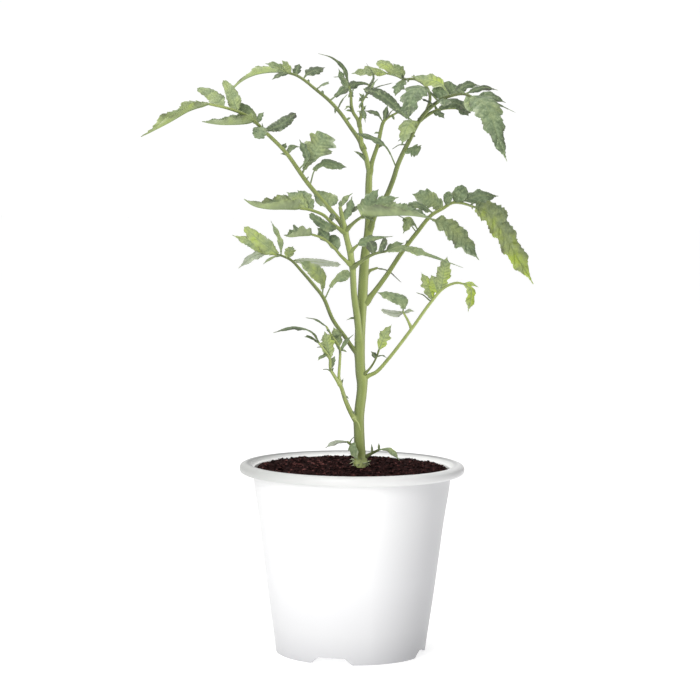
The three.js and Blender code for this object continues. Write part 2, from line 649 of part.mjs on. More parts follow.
      leaflets: [
        { at: 8, via: [[57, -47, 187.7]], tip: [55.6, -51, 177.2], wide: 6, face: [0.6, -1, 0.4] },
        { at: 8, tip: [60.8, -45, 189], wide: 2.6, face: [0, -1, 0.4] },
        { at: 5.8, tip: [45.8, -34, 203.4], wide: 8, shape: "broad", face: [0, -1, 0.2] },
        { at: 5.6, tip: [38.2, -27, 194], wide: 8, face: [0, -1, 0.3] },
        { at: 5.2, tip: [33.4, -24, 195], wide: 7, face: [0, -1, 0.4] },
        { at: 5.1, tip: [30.9, -32, 185.5], wide: 3.4 },
      ],
    },
    {
      path: [[29.1, -19, 166.6], [27, -16, 171], [24.8, -14, 174.7]],
      radii: [0.7, 0.6, 0.5],
      leaflets: [
        {
          at: 2, via: [[24.3, -12, 179.8]], tip: [11.7, -8.5, 184.2],
          wide: 7, shape: "entire", face: [0.2, -1, 0.6],
        },
        {
          at: 2, via: [[20.5, -19, 174.2]], tip: [13.7, -22, 176],
          wide: 4.4, shape: "blunt", face: [0, -0.8, 0.7],
        },
        { at: 1.9, tip: [30.4, -18, 175.4], wide: 3, face: [0, -0.9, 0.6] },
      ],
    },
  ],
  leaf_top_left: [
    {
      path: [
        [4.6, 1, 255.5], [2.3, 3, 260.2], [-2.2, 6, 266.6], [-7.5, 9, 274], [-13.1, 13, 280.2],
        [-20.1, 18, 286], [-26.9, 23, 291.4], [-30.7, 26, 293.6], [-35.4, 30, 295],
      ],
      radii: [1.1, 1.1, 1, 0.95, 0.9, 0.8, 0.75, 0.7, 0.6],
      leaflets: [
        {
          at: 8, via: [[-41.6, 32, 295.6], [-52.1, 36, 294.1], [-60, 40, 290.3]], tip: [-67.5, 44, 283.1],
          wide: 5.6, stalk: 0.03, shape: "tailed", cup: 1.3,
        },
        { at: 8.1, tip: [-46.7, 30, 299.6], wide: 5, face: [0, -1, 0.5] },
        { at: 7.6, tip: [-38, 27, 301.2], wide: 4.5, face: [0, -1, 0] },
        { at: 7.8, tip: [-42.9, 24.5, 291.2], wide: 4, face: [0, -0.7, 0.7] },
        { at: 7, tip: [-29, 33, 299.8], wide: 5, face: [0, -1, 0.3] },
        {
          at: 6, via: [[-24.5, 26, 294.6]], tip: [-15.8, 34, 298],
          wide: 8, stalk: 0.2, face: [0, -0.9, 0.6],
        },
        { at: 5, tip: [-13.4, 8, 288.8], wide: 5, stalk: 0.3, face: [0, -0.7, 0.7] },
        {
          at: 4, via: [[-4, 14, 287.4], [4, 17, 289.5]], tip: [11.9, 19, 286.3],
          wide: 5, stalk: 0.2, shape: "tailed", face: [0, -0.9, 0.6],
        },
        { at: 3.3, tip: [-4.2, 6.5, 283.6], wide: 3 },
      ],
    },
  ],
  growing_tip: [
    {
      path: [
        [2.3, -1, 267], [1.6, -1.2, 270], [-1, -2, 274], [-2, -3, 277.6], [-2.4, -4, 284],
        [-3.4, -4, 287.3],
      ],
      radii: [0.8, 0.8, 0.8, 0.8, 0.7, 0.6],
      leaflets: [
        {
          at: 5, via: [[-5.7, -6, 295.6], [-11.8, -9, 301]], tip: [-18.7, -12, 303],
          wide: 2.8, shape: "tailed", face: [0.3, -1, 0.5],
        },
        { at: 4.6, via: [[-6.6, -3, 291]], tip: [-8.6, -4, 296], wide: 4, face: [0, -1, 0.3] },
        { at: 5, via: [[-6, -7, 291.5]], tip: [-11, -12, 291.5], wide: 2.6 },
        { at: 3, tip: [-5.5, -5.5, 275.5], wide: 2.6 },
      ],
    },
    {
      path: [
        [2.3, -1, 267], [2.2, -1.6, 270], [3.2, -2.5, 273], [3.6, -3.5, 276], [3.4, -4, 279.4],
        [5.3, -4, 282.5],
      ],
      radii: [0.8, 0.8, 0.8, 0.7, 0.6, 0.5],
      leaflets: [
        {
          at: 5, via: [[7, -13, 286.5], [8.8, -21, 292]], tip: [5.3, -25, 297.7],
          wide: 2.6, face: [0.6, -1, 0.2],
        },
        { at: 5, via: [[7, -6.5, 286.5]], tip: [11.2, -9, 290.9], wide: 3, face: [0, -1, 0.5] },
        { at: 5, via: [[10, -5, 286.5]], tip: [18.5, -3.5, 289.2], wide: 2.4 },
        { at: 3, tip: [5.1, -7, 269], wide: 2.4, face: [0, -1, 0] },
      ],
    },
  ],
  top_right_shoot: [
    {
      path: [
        [7.4, 0, 243], [8.7, 1, 249.4], [11.6, 3, 258.5], [14.2, 6, 269.5], [16, 7, 271.5],
        [20.7, 10, 274.2],
      ],
      radii: [1.1, 1.1, 1, 0.9, 0.7, 0.5],
      leaflets: [
        { at: 3, via: [[11, 6, 273.8]], tip: [4.8, 6.5, 275.4], wide: 3.6, stalk: 0.3, face: [0, -0.8, 0.8] },
        { at: 5, tip: [25.5, 13, 277.6], wide: 4.5, face: [0, -0.7, 0.7] },
        { at: 3.3, tip: [16.5, 4, 279], wide: 3, face: [0, -1, 0] },
        { at: 3.8, tip: [20.4, 4, 277], wide: 2.6 },
      ],
    },
  ],
  leaf_small_back: [
    {
      path: [[6, 0, 192.5], [7.9, 3.5, 194.3], [11.8, 9, 195.6]],
      radii: [0.9, 0.8, 0.6],
      leaflets: [{ at: 2, via: [[17.4, 17, 194]], tip: [24.6, 23, 187.8], wide: 3.2, stalk: 0.05 }],
    },
  ],
  base_leaf_left: [
    {
      path: [[4, -1, 101], [1.6, -3.5, 104.3], [-2.4, -9, 108.4]],
      radii: [0.9, 0.8, 0.6],
      leaflets: [
        { at: 2, tip: [-13.7, -20, 106.5], wide: 4.5, face: [0, -0.6, 0.9] },
        { at: 1.6, via: [[-0.4, -11, 106.5]], tip: [2.9, -14, 99.8], wide: 6, face: [-0.5, -1, 0.6] },
        { at: 1.8, tip: [0.8, -8, 111], wide: 2.4 },
      ],
    },
  ],
  base_leaf_right: [
    {
      path: [[4.5, -1, 98.5], [8.7, -3, 101.3], [13.5, -8, 104.4]],
      radii: [0.9, 0.8, 0.6],
      leaflets: [
        { at: 2, via: [[18.4, -13, 105.4]], tip: [23.8, -18, 100.5], wide: 5, face: [0, -0.5, 1] },
        { at: 1.3, tip: [9.8, -7, 107.5], wide: 1.2 },
        { at: 2, tip: [13.4, -10.5, 108.4], wide: 1.2 },
      ],
    },
  ],
  axil_shoot: [
    {
      path: [[3.9, -0.6, 140.6], [6.6, -2.2, 143], [9.2, -4.2, 146.2], [11.5, -8, 150.7], [13, -12, 155.5]],
      radii: [0.8, 0.65, 0.55, 0.5, 0.5],
      leaflets: [
        { at: 4, tip: [19.1, -14.5, 168.3], wide: 7, stalk: 0.08, face: [-0.4, -1, 0.2] },
        { at: 3, tip: [9, -11, 154.5], wide: 2.8, face: [0, -1, 0.2] },
        { at: 3.2, tip: [16.8, -17.5, 152], wide: 2.8 },
      ],
    },
  ],
  shoot_leaf_right: [
    {
      path: [[-1, -13, 196.5], [5.4, -17.5, 201.2], [9.9, -20.5, 203.8], [15.9, -25, 205.4]],
      radii: [1, 0.85, 0.75, 0.6],
      leaflets: [
        {
          at: 3, via: [[25, -33, 207.3], [37, -42, 204.1]], tip: [52.7, -53, 198.8],
          wide: 4.6, stalk: 0.03, shape: "tailed", face: [0, -0.9, 0.5],
        },
        { at: 2, tip: [7.5, -17, 210], wide: 5.5, shape: "blunt", face: [-0.3, -1, 0.3] },
        { at: 2.4, tip: [16.2, -29, 211], wide: 5.5, shape: "blunt", face: [-0.3, -0.8, 0.5] },
        { at: 3, tip: [24.8, -21, 209.5], wide: 5, face: [0, -0.8, 0.7] },
      ],
    },
  ],
  shoot_leaf_small: [
    {
      path: [[-2.5, -15, 204], [-0.4, -15.3, 206], [1.7, -14.3, 208]],
      radii: [0.8, 0.7, 0.6],
      leaflets: [
        {
          at: 2, via: [[8.5, -12.5, 211]], tip: [19.5, -12, 212.5],
          wide: 5.4, stalk: 0.03, shape: "tailed", face: [0, -0.9, 0.6],
        },
      ],
    },
  ],
  shoot_leaf_front: [
    {
      path: [[-4.5, -17.5, 215], [0.6, -22, 220], [4.4, -25, 222.7]],
      radii: [0.9, 0.8, 0.7],
      leaflets: [
        {
          at: 2, via: [[15, -33, 223.5], [27.1, -40, 223.7]], tip: [37.2, -46, 222.5],
          wide: 12, stalk: 0.03, shape: "tapered", cup: 1.1,
        },
        { at: 1.8, tip: [11.8, -27, 236.1], wide: 10, shape: "tapered", face: [-0.3, -1, 0.3] },
        { at: 2, tip: [21.8, -31, 232.3], wide: 7, face: [-0.2, -1, 0.4] },
        { at: 1.5, tip: [10, -31, 220.4], wide: 4, face: [0, -0.2, 1] },
      ],
    },
  ],
  shoot_leaf_left: [
    {
      path: [
        [-4.5, -17.5, 214], [-10.6, -21.5, 218.5], [-15.4, -25, 223], [-22.2, -29, 225.6],
        [-26.8, -31.5, 226.2],
      ],
      radii: [0.9, 0.85, 0.8, 0.7, 0.6],
      leaflets: [
        {
          at: 4, via: [[-34, -38, 226.3], [-42.1, -43, 226.3], [-48.8, -47, 227.8]], tip: [-53.5, -50, 230.9],
          wide: 9.5, stalk: 0.03, shape: "tapered", cup: 1.2,
        },
        { at: 3.2, tip: [-33.8, -20, 234.1], wide: 8, face: [0, -0.9, 0.6] },
        { at: 2.8, tip: [-28.5, -15, 235], wide: 8, face: [0, -1, 0.5] },
        {
          at: 0.6, via: [[-12.5, -27, 217]], tip: [-22.3, -34, 223.6],
          wide: 5, shape: "blunt", face: [0, -1, 0.4],
        },
        { at: 1.3, tip: [-10.1, -25, 223.5], wide: 3, shape: "blunt", face: [0, -1, 0.4] },
      ],
    },
  ],
  shoot_leaf_low_left: [
    {
      path: [
        [-1.2, -13, 197.5], [-6.5, -18, 202.6], [-9.8, -22, 206.6], [-15.3, -28, 211.5],
        [-20.9, -33, 213.6],
      ],
      radii: [0.85, 0.8, 0.7, 0.65, 0.55],
      leaflets: [
        {
          at: 4, via: [[-26.6, -38, 213.2], [-30.9, -40, 212.7]], tip: [-34.3, -42, 213.4],
          wide: 8, shape: "middling", stalk: 0.03, cup: 1.2,
        },
        { at: 2.6, tip: [-18.4, -26, 216.8], wide: 7, shape: "small", face: [0, -1, 0.4] },
        { at: 1.6, tip: [-11.6, -18, 213], wide: 6, shape: "blunt", face: [0, -0.9, 0.6] },
      ],
    },
  ],
};
const YOUNG = [
  "growing_tip", "top_right_shoot", "axil_shoot", "base_leaf_left", "base_leaf_right", "shoot_leaf_small",
];
const RIB_SIDES = 4;

// A rib and its leaflets as one grown piece
function grown(rib, sides, draw, more) {
  const core = new Rib(rib.path, rib.radii);
  const leaflets = more ? [] : rib.leaflets ?? [];
  return [core.solid(sides, more), ...leaflets.map((spec) => leaflet(core, spec, draw))];
}

// All ribs of a stem or leaf, joined; with "more", only its bare ribs, that much thicker
function plantSolid(ribs, sides, seed, more = 0) {
  const draw = drawsFrom(seed);
  return join(ribs.flatMap((rib) => grown(rib, sides, draw, more)));
}

const part = new THREE.Group();
const stemSpace = {};
for (const [name, stem] of Object.entries(STEMS)) {
  stemSpace[name] = plantSolid(stem.ribs, stem.sides, 0, GAP);
}
part.add(meshOf("pot", pot(), COLOURS.pot, 0.45));
part.add(meshOf("soil", mainBody(soil().subtract(stemSpace.main_stem)), COLOURS.soil, 0.95));
Object.entries(STEMS).forEach(([name, stem], order) => {
  const whole = plantSolid(stem.ribs, stem.sides, 11 + order);
  const clear = name === "main_stem" ? whole : whole.subtract(stemSpace.main_stem);
  part.add(meshOf(name, mainBody(clear), COLOURS.stem, 0.6));
});
const allStems = join(Object.values(stemSpace));
Object.entries(LEAVES).forEach(([name, ribs], order) => {
  const clear = plantSolid(ribs, RIB_SIDES, 101 + order).subtract(allStems);
  const colour = YOUNG.includes(name) ? COLOURS.young : COLOURS.leaf;
  part.add(meshOf(name, mainBody(clear), colour, 0.7));
});

export default part;
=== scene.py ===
import math

import bpy
import numpy as np
from mathutils import Matrix


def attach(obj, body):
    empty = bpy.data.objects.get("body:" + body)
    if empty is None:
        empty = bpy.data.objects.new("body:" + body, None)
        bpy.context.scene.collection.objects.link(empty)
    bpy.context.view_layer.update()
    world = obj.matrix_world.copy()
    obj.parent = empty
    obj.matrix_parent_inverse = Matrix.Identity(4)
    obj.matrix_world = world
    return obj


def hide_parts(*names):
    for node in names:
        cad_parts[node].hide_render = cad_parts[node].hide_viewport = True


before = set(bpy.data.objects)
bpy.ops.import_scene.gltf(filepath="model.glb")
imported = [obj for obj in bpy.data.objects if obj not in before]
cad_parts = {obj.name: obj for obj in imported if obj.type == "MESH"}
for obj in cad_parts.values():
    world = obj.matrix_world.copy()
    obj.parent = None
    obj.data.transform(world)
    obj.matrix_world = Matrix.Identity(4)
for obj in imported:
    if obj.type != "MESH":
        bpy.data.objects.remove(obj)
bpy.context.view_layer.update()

MM = 0.001
FAR_AWAY = 99.0

# Pot and soil, in the part's own sizes, with a few more points along the rim
WALL = 1.2
FOOT_RADIUS = 38.2
FOOT_WIDTH = 1.8
FLOOR_UNDERSIDE = 3.5
FLOOR_TOP = 4.7
FLOOR_RADIUS = 37.4  # where the inside of the wall reaches the floor
OUTER_WALL = [(FOOT_RADIUS, 0), (38.7, 5), (41.7, 26), (44.3, 46), (46.8, 66), (49.6, 84.5), (50.3, 91)]
RIM = [
    (50.3, 91), (53, 91.4), (56, 91.8), (56.9, 92.6), (57.15, 93.9), (56.8, 95.4), (55.2, 96.4),
    (53.5, 96.6),
]
RIM_INSIDE = [(53.5, 96.6), (51.8, 96.2), (50.8, 95), (49.7, 94.2)]
NOTCH_HEIGHT = 3.3
NOTCH_BELOW = 21.6
NOTCH_ABOVE = 13.8
NOTCH_ANGLES = [-15, 75, 165, 255]
DRAIN_RADIUS = 3
DRAIN_RING = 25
DRAIN_ANGLES = [30, 120, 210, 300]
SOIL_TOP = 94.6
SOIL_BUMP = 0.6
SOIL_GAP = 0.3
SOIL_RADIUS = 48.9
SOIL_LEVEL_RADIUS = 45  # the soil falls from here to its edge

# Pot and soil, only here
FLOOR_CORNER = (0.8, 1.2)  # how far the bevel at the floor's edge reaches, inwards and upwards
CREST_RADIUS = 52.8
CREST_SPREAD = 1.1
POT_SIDES = 360
DRAIN_SIDES = 40
SOIL_SIDES = 220
SOIL_RINGS = 66
CRUMB_RING = 46.4
CRUMB_CLEARANCE = 3.2  # from the middle of the stem
STEM_IN_SOIL = (4.3, -1)

# Plant
STALK_HALF = 0.5  # half the width of a leaflet's own stalk
LONG_STALK = 2.6  # a stalk longer than this is bare
BLADE_THICK = 0.34
ROW_SPACING = 0.42
HAIR_LENGTH = 0.9
HAIR_RADIUS = 0.04
HAIR_CORNERS = (0, 2.094, 4.189)
TIP_DARKENING = 0.3
BURIED_LENGTH = 36  # the main stem has no hairs up to here
STEM_COVER = 2.4  # how much of a stalk's foot is inside its stem, and of a side rib's inside its rib
RIB_COVER = 0.6
SCALE_COUNT = 38
SCALE_CENTRE = (4.2, -1)
SCALE_RING = 2.6
SCALE_HEIGHTS = (95.2, 99.5)
STEM_SEED = 11  # this and the next as in the part's source, so that the widths agree
LEAF_SEED = 101
HAIR_SEED = 500
BUD_WIDTH_SEED = 700
BUD_SEED = 900
SCALE_SEED = 31
CRUMB_SEED = 77

# Stations along a leaflet: place along the blade, half width, how far the edge leads the midrib.
# Blunt leaflets end broadly, entire ones have a smooth edge, and sheathing ones are broad at the rib.
OUTLINES = {
    "broad": [
        (0, 0.12, 0), (0.09, 0.72, 0.04), (0.17, 0.6, 0.02), (0.31, 1, 0.07), (0.4, 0.8, 0.02),
        (0.52, 0.92, 0.07), (0.62, 0.62, 0.02), (0.73, 0.66, 0.06), (0.83, 0.38, 0.02), (1, 0.03, 0),
    ],
    "middling": [
        (0, 0.14, 0), (0.18, 0.84, 0.07), (0.3, 0.64, 0.02), (0.47, 1, 0.08), (0.59, 0.6, 0.02),
        (0.71, 0.58, 0.06), (1, 0.04, 0),
    ],
    "small": [(0, 0.2, 0), (0.24, 0.92, 0.08), (0.4, 0.62, 0.02), (0.58, 0.82, 0.09), (1, 0.06, 0)],
    "tiny": [(0, 0.3, 0), (0.4, 1, 0.05), (1, 0.1, 0)],
    "blunt": [(0, 0.45, 0), (0.3, 0.95, 0.02), (0.65, 1, 0.03), (0.92, 0.62, 0.02), (1, 0.3, 0)],
    "entire": [(0, 0.4, 0), (0.2, 0.92, 0), (0.48, 1, 0), (0.78, 0.6, 0), (1, 0.05, 0)],
    "sheathing": [
        (0, 0.9, 0), (0.25, 1, 0.03), (0.5, 0.82, 0.01), (0.72, 0.72, 0.04), (0.92, 0.42, 0.02), (1, 0.2, 0),
    ],
    "tailed": [
        (0, 0.5, 0), (0.14, 1, 0.04), (0.24, 0.76, 0.01), (0.38, 0.94, 0.06), (0.48, 0.5, 0.01),
        (0.62, 0.36, 0.03), (1, 0.05, 0),
    ],
    "tapered": [
        (0, 0.5, 0), (0.12, 1, 0.04), (0.21, 0.86, 0.01), (0.33, 0.94, 0.06), (0.43, 0.7, 0.01),
        (0.54, 0.72, 0.05), (0.66, 0.46, 0.01), (0.78, 0.4, 0.04), (1, 0.03, 0),
    ],
    "fan": [
        (0, 0.16, 0), (0.24, 0.46, 0.05), (0.36, 0.42, 0.02), (0.52, 1, 0.13), (0.62, 0.7, 0.04),
        (0.74, 1, 0.12), (0.84, 0.62, 0.04), (0.93, 0.66, 0.06), (1, 0.2, 0),
    ],
}
LEAST_WIDTHS = {"broad": 11, "middling": 6.5, "small": 3.5, "tiny": 0}  # for leaflets that name no shape
PLANT = {}


def rib(node, path, radii, *leaflets):
    """A stem or midrib of a node, through the points of its path, and the leaflets on it."""
    PLANT.setdefault(node, []).append({"path": path, "radii": radii, "leaflets": leaflets})


def blade(
    at, wide, *points, stalk=None, face=(0, -0.15, 1), cup=-0.12, shape=None, halves=(1, 1), tone=0.0,
    pale=0.0,
):
    """A leaflet from a place counted along its rib's points, through its own points, to the last, its tip.

    Stalk is the share of its length that is stalk, and face the way that its upper side looks. Cup is
    how steeply its halves rise from the midrib, and halves scales the width of each. Tone runs from
    -1, a dark purplish green, through 0, a bluish green, to 1, a young yellow-green: one for the
    blade, or one for each half, or for each half and the tip. Pale is how much of the blade a whitish
    bloom covers.
    """
    tones = tone if isinstance(tone, tuple) else (tone, tone)
    if len(tones) == 2:
        tones = (*tones, sum(tones) / 2 - TIP_DARKENING)
    return {
        "at": at, "wide": wide, "points": points, "stalk": stalk, "face": face, "cup": cup, "shape": shape,
        "halves": halves, "tones": tones, "pale": pale,
    }


rib("main_stem", [
    (4.3, -1, 60), (4.3, -1, 93.5), (4.2, -1, 97), (4, -1, 101), (3.3, -1, 120), (4.7, 0, 136),
    (3.8, 0, 143), (3.4, 0, 161.5), (4.5, 0, 182), (5.4, 0, 200), (7.4, 0, 217), (7.1, 0, 237),
    (7.4, 0, 245.5),
], [2.4, 2.7, 3.4, 2.8, 2.6, 2.6, 2.5, 2.6, 2.5, 2.3, 2.1, 1.7, 1.5])
rib("main_stem", [
    (7.4, 0, 244), (5, 1, 254), (3.4, 1, 258), (2.9, 0, 263.5), (2.2, -1, 268),
], [1.3, 1.2, 1.1, 1, 0.8],
    blade(0.5, 1.8, (-0.5, -5, 254.8), face=(0, -1, 0.3), shape="entire", tone=-0.5),
)
rib("side_shoot", [
    (3.4, 0, 158), (1.8, -5, 172), (0.2, -9, 183), (-1, -13, 198.5), (-4.2, -17, 213.5),
    (-6.4, -20, 223.5), (-7.2, -20.5, 227),
], [1.7, 1.8, 1.6, 1.5, 1.4, 1.1, 0.8],
    blade(4.6, 5, (-2.7, -22, 225.5), (-1.3, -24, 232.5), face=(0, -1, 0.3), tone=0.1),
    blade(5, 3.2, (-4, -19.5, 224.5), (0.6, -20.5, 226.5), (5.4, -19.5, 230.5), face=(0, -0.7, 0.7),
        tone=-0.6),
    blade(6, 3, (-0.8, -22.5, 234), face=(0.3, -1, 0.2), tone=0.5),
    blade(6, 2, (-7, -22, 230.4), face=(0, -1, 0), tone=-0.2),
    blade(0.9, 1.2, (-3.5, -7, 169.9), face=(0, -1, 0.4), tone=-0.9),
)
rib("low_shoot", [
    (3.4, -1, 117), (0.2, -3, 121), (-3.7, -8, 129.5), (-5.7, -11, 136), (-6.9, -12, 138.5),
], [1.3, 1.3, 1.1, 1, 1])
rib("low_shoot", [
    (-6.3, -11.5, 137.5), (-9.5, -14, 142.5), (-11.3, -16, 146), (-11.6, -18, 151), (-15, -21, 156.5),
    (-17.2, -23, 159.5),
], [0.9, 0.8, 0.75, 0.7, 0.6, 0.5],
    blade(5, 5.6, (-24, -30, 163), face=(0, -0.6, 1), tone=0.1),
    blade(4.6, 6.5, (-20.5, -26, 165), (-29, -31, 167.5), (-39.3, -36, 165.3), tone=-0.1),
    blade(3, 8, (-14.4, -18, 165), face=(-0.2, -1, 0.2), tone=0.7),
    blade(3.4, 4.4, (-17.5, -25, 151), tone=0.2),
    blade(1.6, 2.4, (-15, -19, 146), tone=-0.4),
    blade(2, 3.6, (-9, -16.5, 152.5), face=(0.3, -1, 0), tone=0.3),
)
rib("low_shoot", [
    (-6.3, -11.5, 137.5), (-7, -12, 141), (-6.7, -12, 148.5), (-6.6, -11, 154.5), (-7.8, -11, 158),
    (-10.9, -12, 162.5), (-13.6, -13, 167),
], [0.9, 0.75, 0.7, 0.65, 0.6, 0.5, 0.5],
    blade(6, 2.8, (-24, -10, 171.3), tone=-0.6),
    blade(3.6, 6.5, (-10, -8.5, 166.5), face=(0.2, -1, 0.2), tone=0.7),
    blade(3, 3, (0.2, -9.5, 163), face=(0, -0.6, 0.8), tone=0.1),
    blade(4.6, 5, (-16.5, -14, 160), face=(-0.2, -1, 0.4), tone=0.4),
)
rib("leaf_upper_left", [
    (-4.6, -16.6, 214.6), (-5.6, -16.2, 217.5), (-8.7, -15, 221.6), (-23, -13, 238), (-33.6, -25, 253),
    (-42.6, -38, 262.3), (-51.5, -50, 270.5), (-60.2, -60, 274), (-69.6, -68, 276),
], [1.5, 1.3, 1.2, 1.1, 1, 0.9, 0.8, 0.7, 0.6],
    blade(8, 6.6, (-78, -77, 272.9), (-86.8, -84, 267.3), (-100, -89, 260.1), stalk=0.03, cup=1.3,
        shape="small", tone=0.6),
    blade(7.3, 8, (-76.3, -52, 284), stalk=0.02, face=(0, -1, 0.6), shape="sheathing", tone=0.45),
    blade(6.6, 7.5, (-64, -50, 288), stalk=0.02, face=(-0.6, -1, 0.4), shape="sheathing", tone=0.45),
    blade(5.7, 8, (-55.4, -56, 267.1), (-64.6, -63, 266.7), (-73, -66, 267.8), cup=1.2, shape="tapered",
        tone=0.3),
    blade(5.4, 7.4, (-46, -60, 259.8), stalk=0.03, face=(0, -1, 0.3), shape="blunt", tone=0.2),
    blade(5.2, 6.2, (-37.9, -32, 266.5), (-29.3, -22, 273.2), face=(0, -1, 0.5), shape="blunt", tone=-0.6),
    blade(5.5, 6, (-57, -47, 276.3), face=(0, -1, 0.4), shape="blunt", tone=0.25),
    blade(5.6, 3.6, (-44.5, -40, 273.1), face=(0, -1, 0.4), tone=-0.3),
    blade(3.3, 16, (-23.3, -12, 249.4), (-14.3, -5, 263.3), stalk=0.2, face=(-0.3, -1, 0.3), shape="fan",
        tone=0.45),
    blade(3.45, 5, (-23.9, -17, 250.5), (-27.8, -11, 260.4), stalk=0.3, face=(-0.2, -1, 0.3), tone=-0.1),
    blade(2.95, 7, (-19.6, -10, 245.9), (-14.8, -7, 248.4), (-4, -3, 246.7), stalk=0.5, face=(0, -1, 0.5),
        shape="entire", tone=0.2),
    blade(2.8, 8, (-14.7, -13, 230.8), (-8, -14, 230.3), stalk=0.03, face=(0, -1, 0.5), shape="blunt",
        tone=0.35),
    blade(4, 3.4, (-31, -21, 256.6), (-26.6, -17, 256.5), face=(0, -1, 0.4), tone=-0.1),
    blade(4.2, 3, (-34, -24, 258.5), face=(0, -1, 0.2), tone=-0.4),
)
rib("leaf_upper_right", [
    (7.4, 0, 215), (10.9, -2, 224), (15.8, -6, 232), (19.2, -9, 240.5), (21.8, -12, 249),
    (27.6, -18, 261.7), (30.5, -22, 268), (34.9, -27, 274.3), (40.6, -33, 279.2), (45.8, -39, 281.6),
    (51.8, -45, 282.6), (55.7, -49, 281.4),
], [1.5, 1.4, 1.3, 1.25, 1.2, 1.1, 1.1, 1, 0.9, 0.8, 0.7, 0.6],
    blade(11, 14.5, (61.6, -56, 278), (65.2, -62, 270.7), (67.5, -66, 262.6), (72.1, -70, 250.1),
        stalk=0.03, face=(0.3, -1, 0.5), shape="tapered", tone=0.05),
    blade(10.5, 6, (56.1, -50, 274), face=(-0.2, -1, 0.4), shape="blunt", tone=0.1),
    blade(8.2, 8, (41.4, -30, 287.8), face=(0, -1, 0.3), shape="blunt", tone=0.05),
    blade(9.2, 5.6, (54.8, -37, 287.4), (60.8, -34, 287.1), face=(0, -0.8, 0.6), tone=-0.5),
    blade(7.6, 8, (33, -37, 279.5), face=(-0.3, -0.7, 0.8), tone=-0.3),
    blade(8.5, 7.4, (43, -44, 276.5), face=(0, -0.7, 0.6), tone=-0.2),
    blade(10.2, 4.8, (62.4, -40, 285.9), (69.5, -36, 284.9), face=(0, -0.8, 0.6), tone=-0.6),
    blade(8.4, 8, (44.3, -30, 285.8), (51.8, -27, 285.5), face=(0, -0.8, 0.5), shape="blunt"),
    blade(8, 13, (33.3, -38, 285.5), (27.3, -44, 281.4), (25.4, -50, 269.4), stalk=0.2,
        face=(-0.5, -0.9, 0.6), tone=-0.15),
    blade(9, 9, (41, -35, 288), (27.2, -28, 291.6), stalk=0.25, face=(0, -0.9, 0.7), tone=0.7),
    blade(6.2, 10.5, (26.6, -29, 268.6), (22.7, -33, 257.6), stalk=0.1, face=(-0.4, -1, 0.5),
        tone=(0.75, 0.5)),
    blade(4.4, 7.5, (31.9, -22, 254.8), face=(0.2, -1, 0.3), shape="fan", tone=0.2),
    blade(5, 3.6, (21.4, -10, 260), tone=-0.5),
    blade(4.7, 2.4, (18.5, -8, 256), tone=-0.6),
    blade(3.7, 4.6, (15.5, -12, 256.9), (9, -10.5, 261.1), (-0.9, -9.5, 264.2), stalk=0.42,
        face=(0.3, -1, 0.7), tone=-0.2),
    blade(6, 5.4, (22.6, -18, 274.3), (13.1, -19, 282.4), (3.6, -19, 285.5), stalk=0.3, face=(0, -1, 0.4),
        shape="blunt", tone=-0.5),
)
rib("leaf_upper_right", [
    (31.5, -23, 270), (38.4, -25, 274.3), (44.5, -21, 276.2), (51, -17, 276.4), (55.4, -14, 275.6),
], [0.9, 0.8, 0.75, 0.7, 0.6],
    blade(4, 7.4, (64.4, -22, 282.4), (74, -27, 279.1), face=(0, -0.9, 0.6), shape="tapered", tone=-0.1),
    blade(4, 2.6, (66.5, -22, 279.2), (78.6, -28, 274.4), face=(0, -1, 0.4), tone=-0.4),
    blade(1, 4, (43.7, -31, 271), face=(0, -1, 0.4), tone=-0.5),
    blade(3, 5.6, (56, -22.5, 272.5), face=(0, -1, 0.4), tone=-0.4),
    blade(1.3, 7, (48.1, -24, 279), (57, -25.5, 273.9), face=(0, -0.7, 0.7), shape="blunt", tone=-0.3),
)
rib("leaf_upper_right", [
    (35.5, -27.5, 275), (36.8, -22, 281.6), (34.9, -18, 287), (29.5, -15, 290.6), (24.2, -13, 290.6),
    (20.4, -12, 292.3), (15.6, -11.5, 293.4),
], [0.8, 0.75, 0.7, 0.7, 0.6, 0.6, 0.5],
    blade(6, 7, (7, -14, 294.5), (-2.1, -17, 293), stalk=0.04, face=(0, -0.9, 0.6), tone=0.6),
    blade(5, 7, (10.8, -6, 299.8), face=(0.3, -0.9, 0.6), shape="blunt", tone=0.7),
    blade(4.2, 7, (18.6, -18, 298), face=(-0.5, -0.9, 0.5), tone=0.4),
    blade(4, 7, (19.5, -21, 282), face=(-0.5, -1, 0.4), tone=-0.1),
)
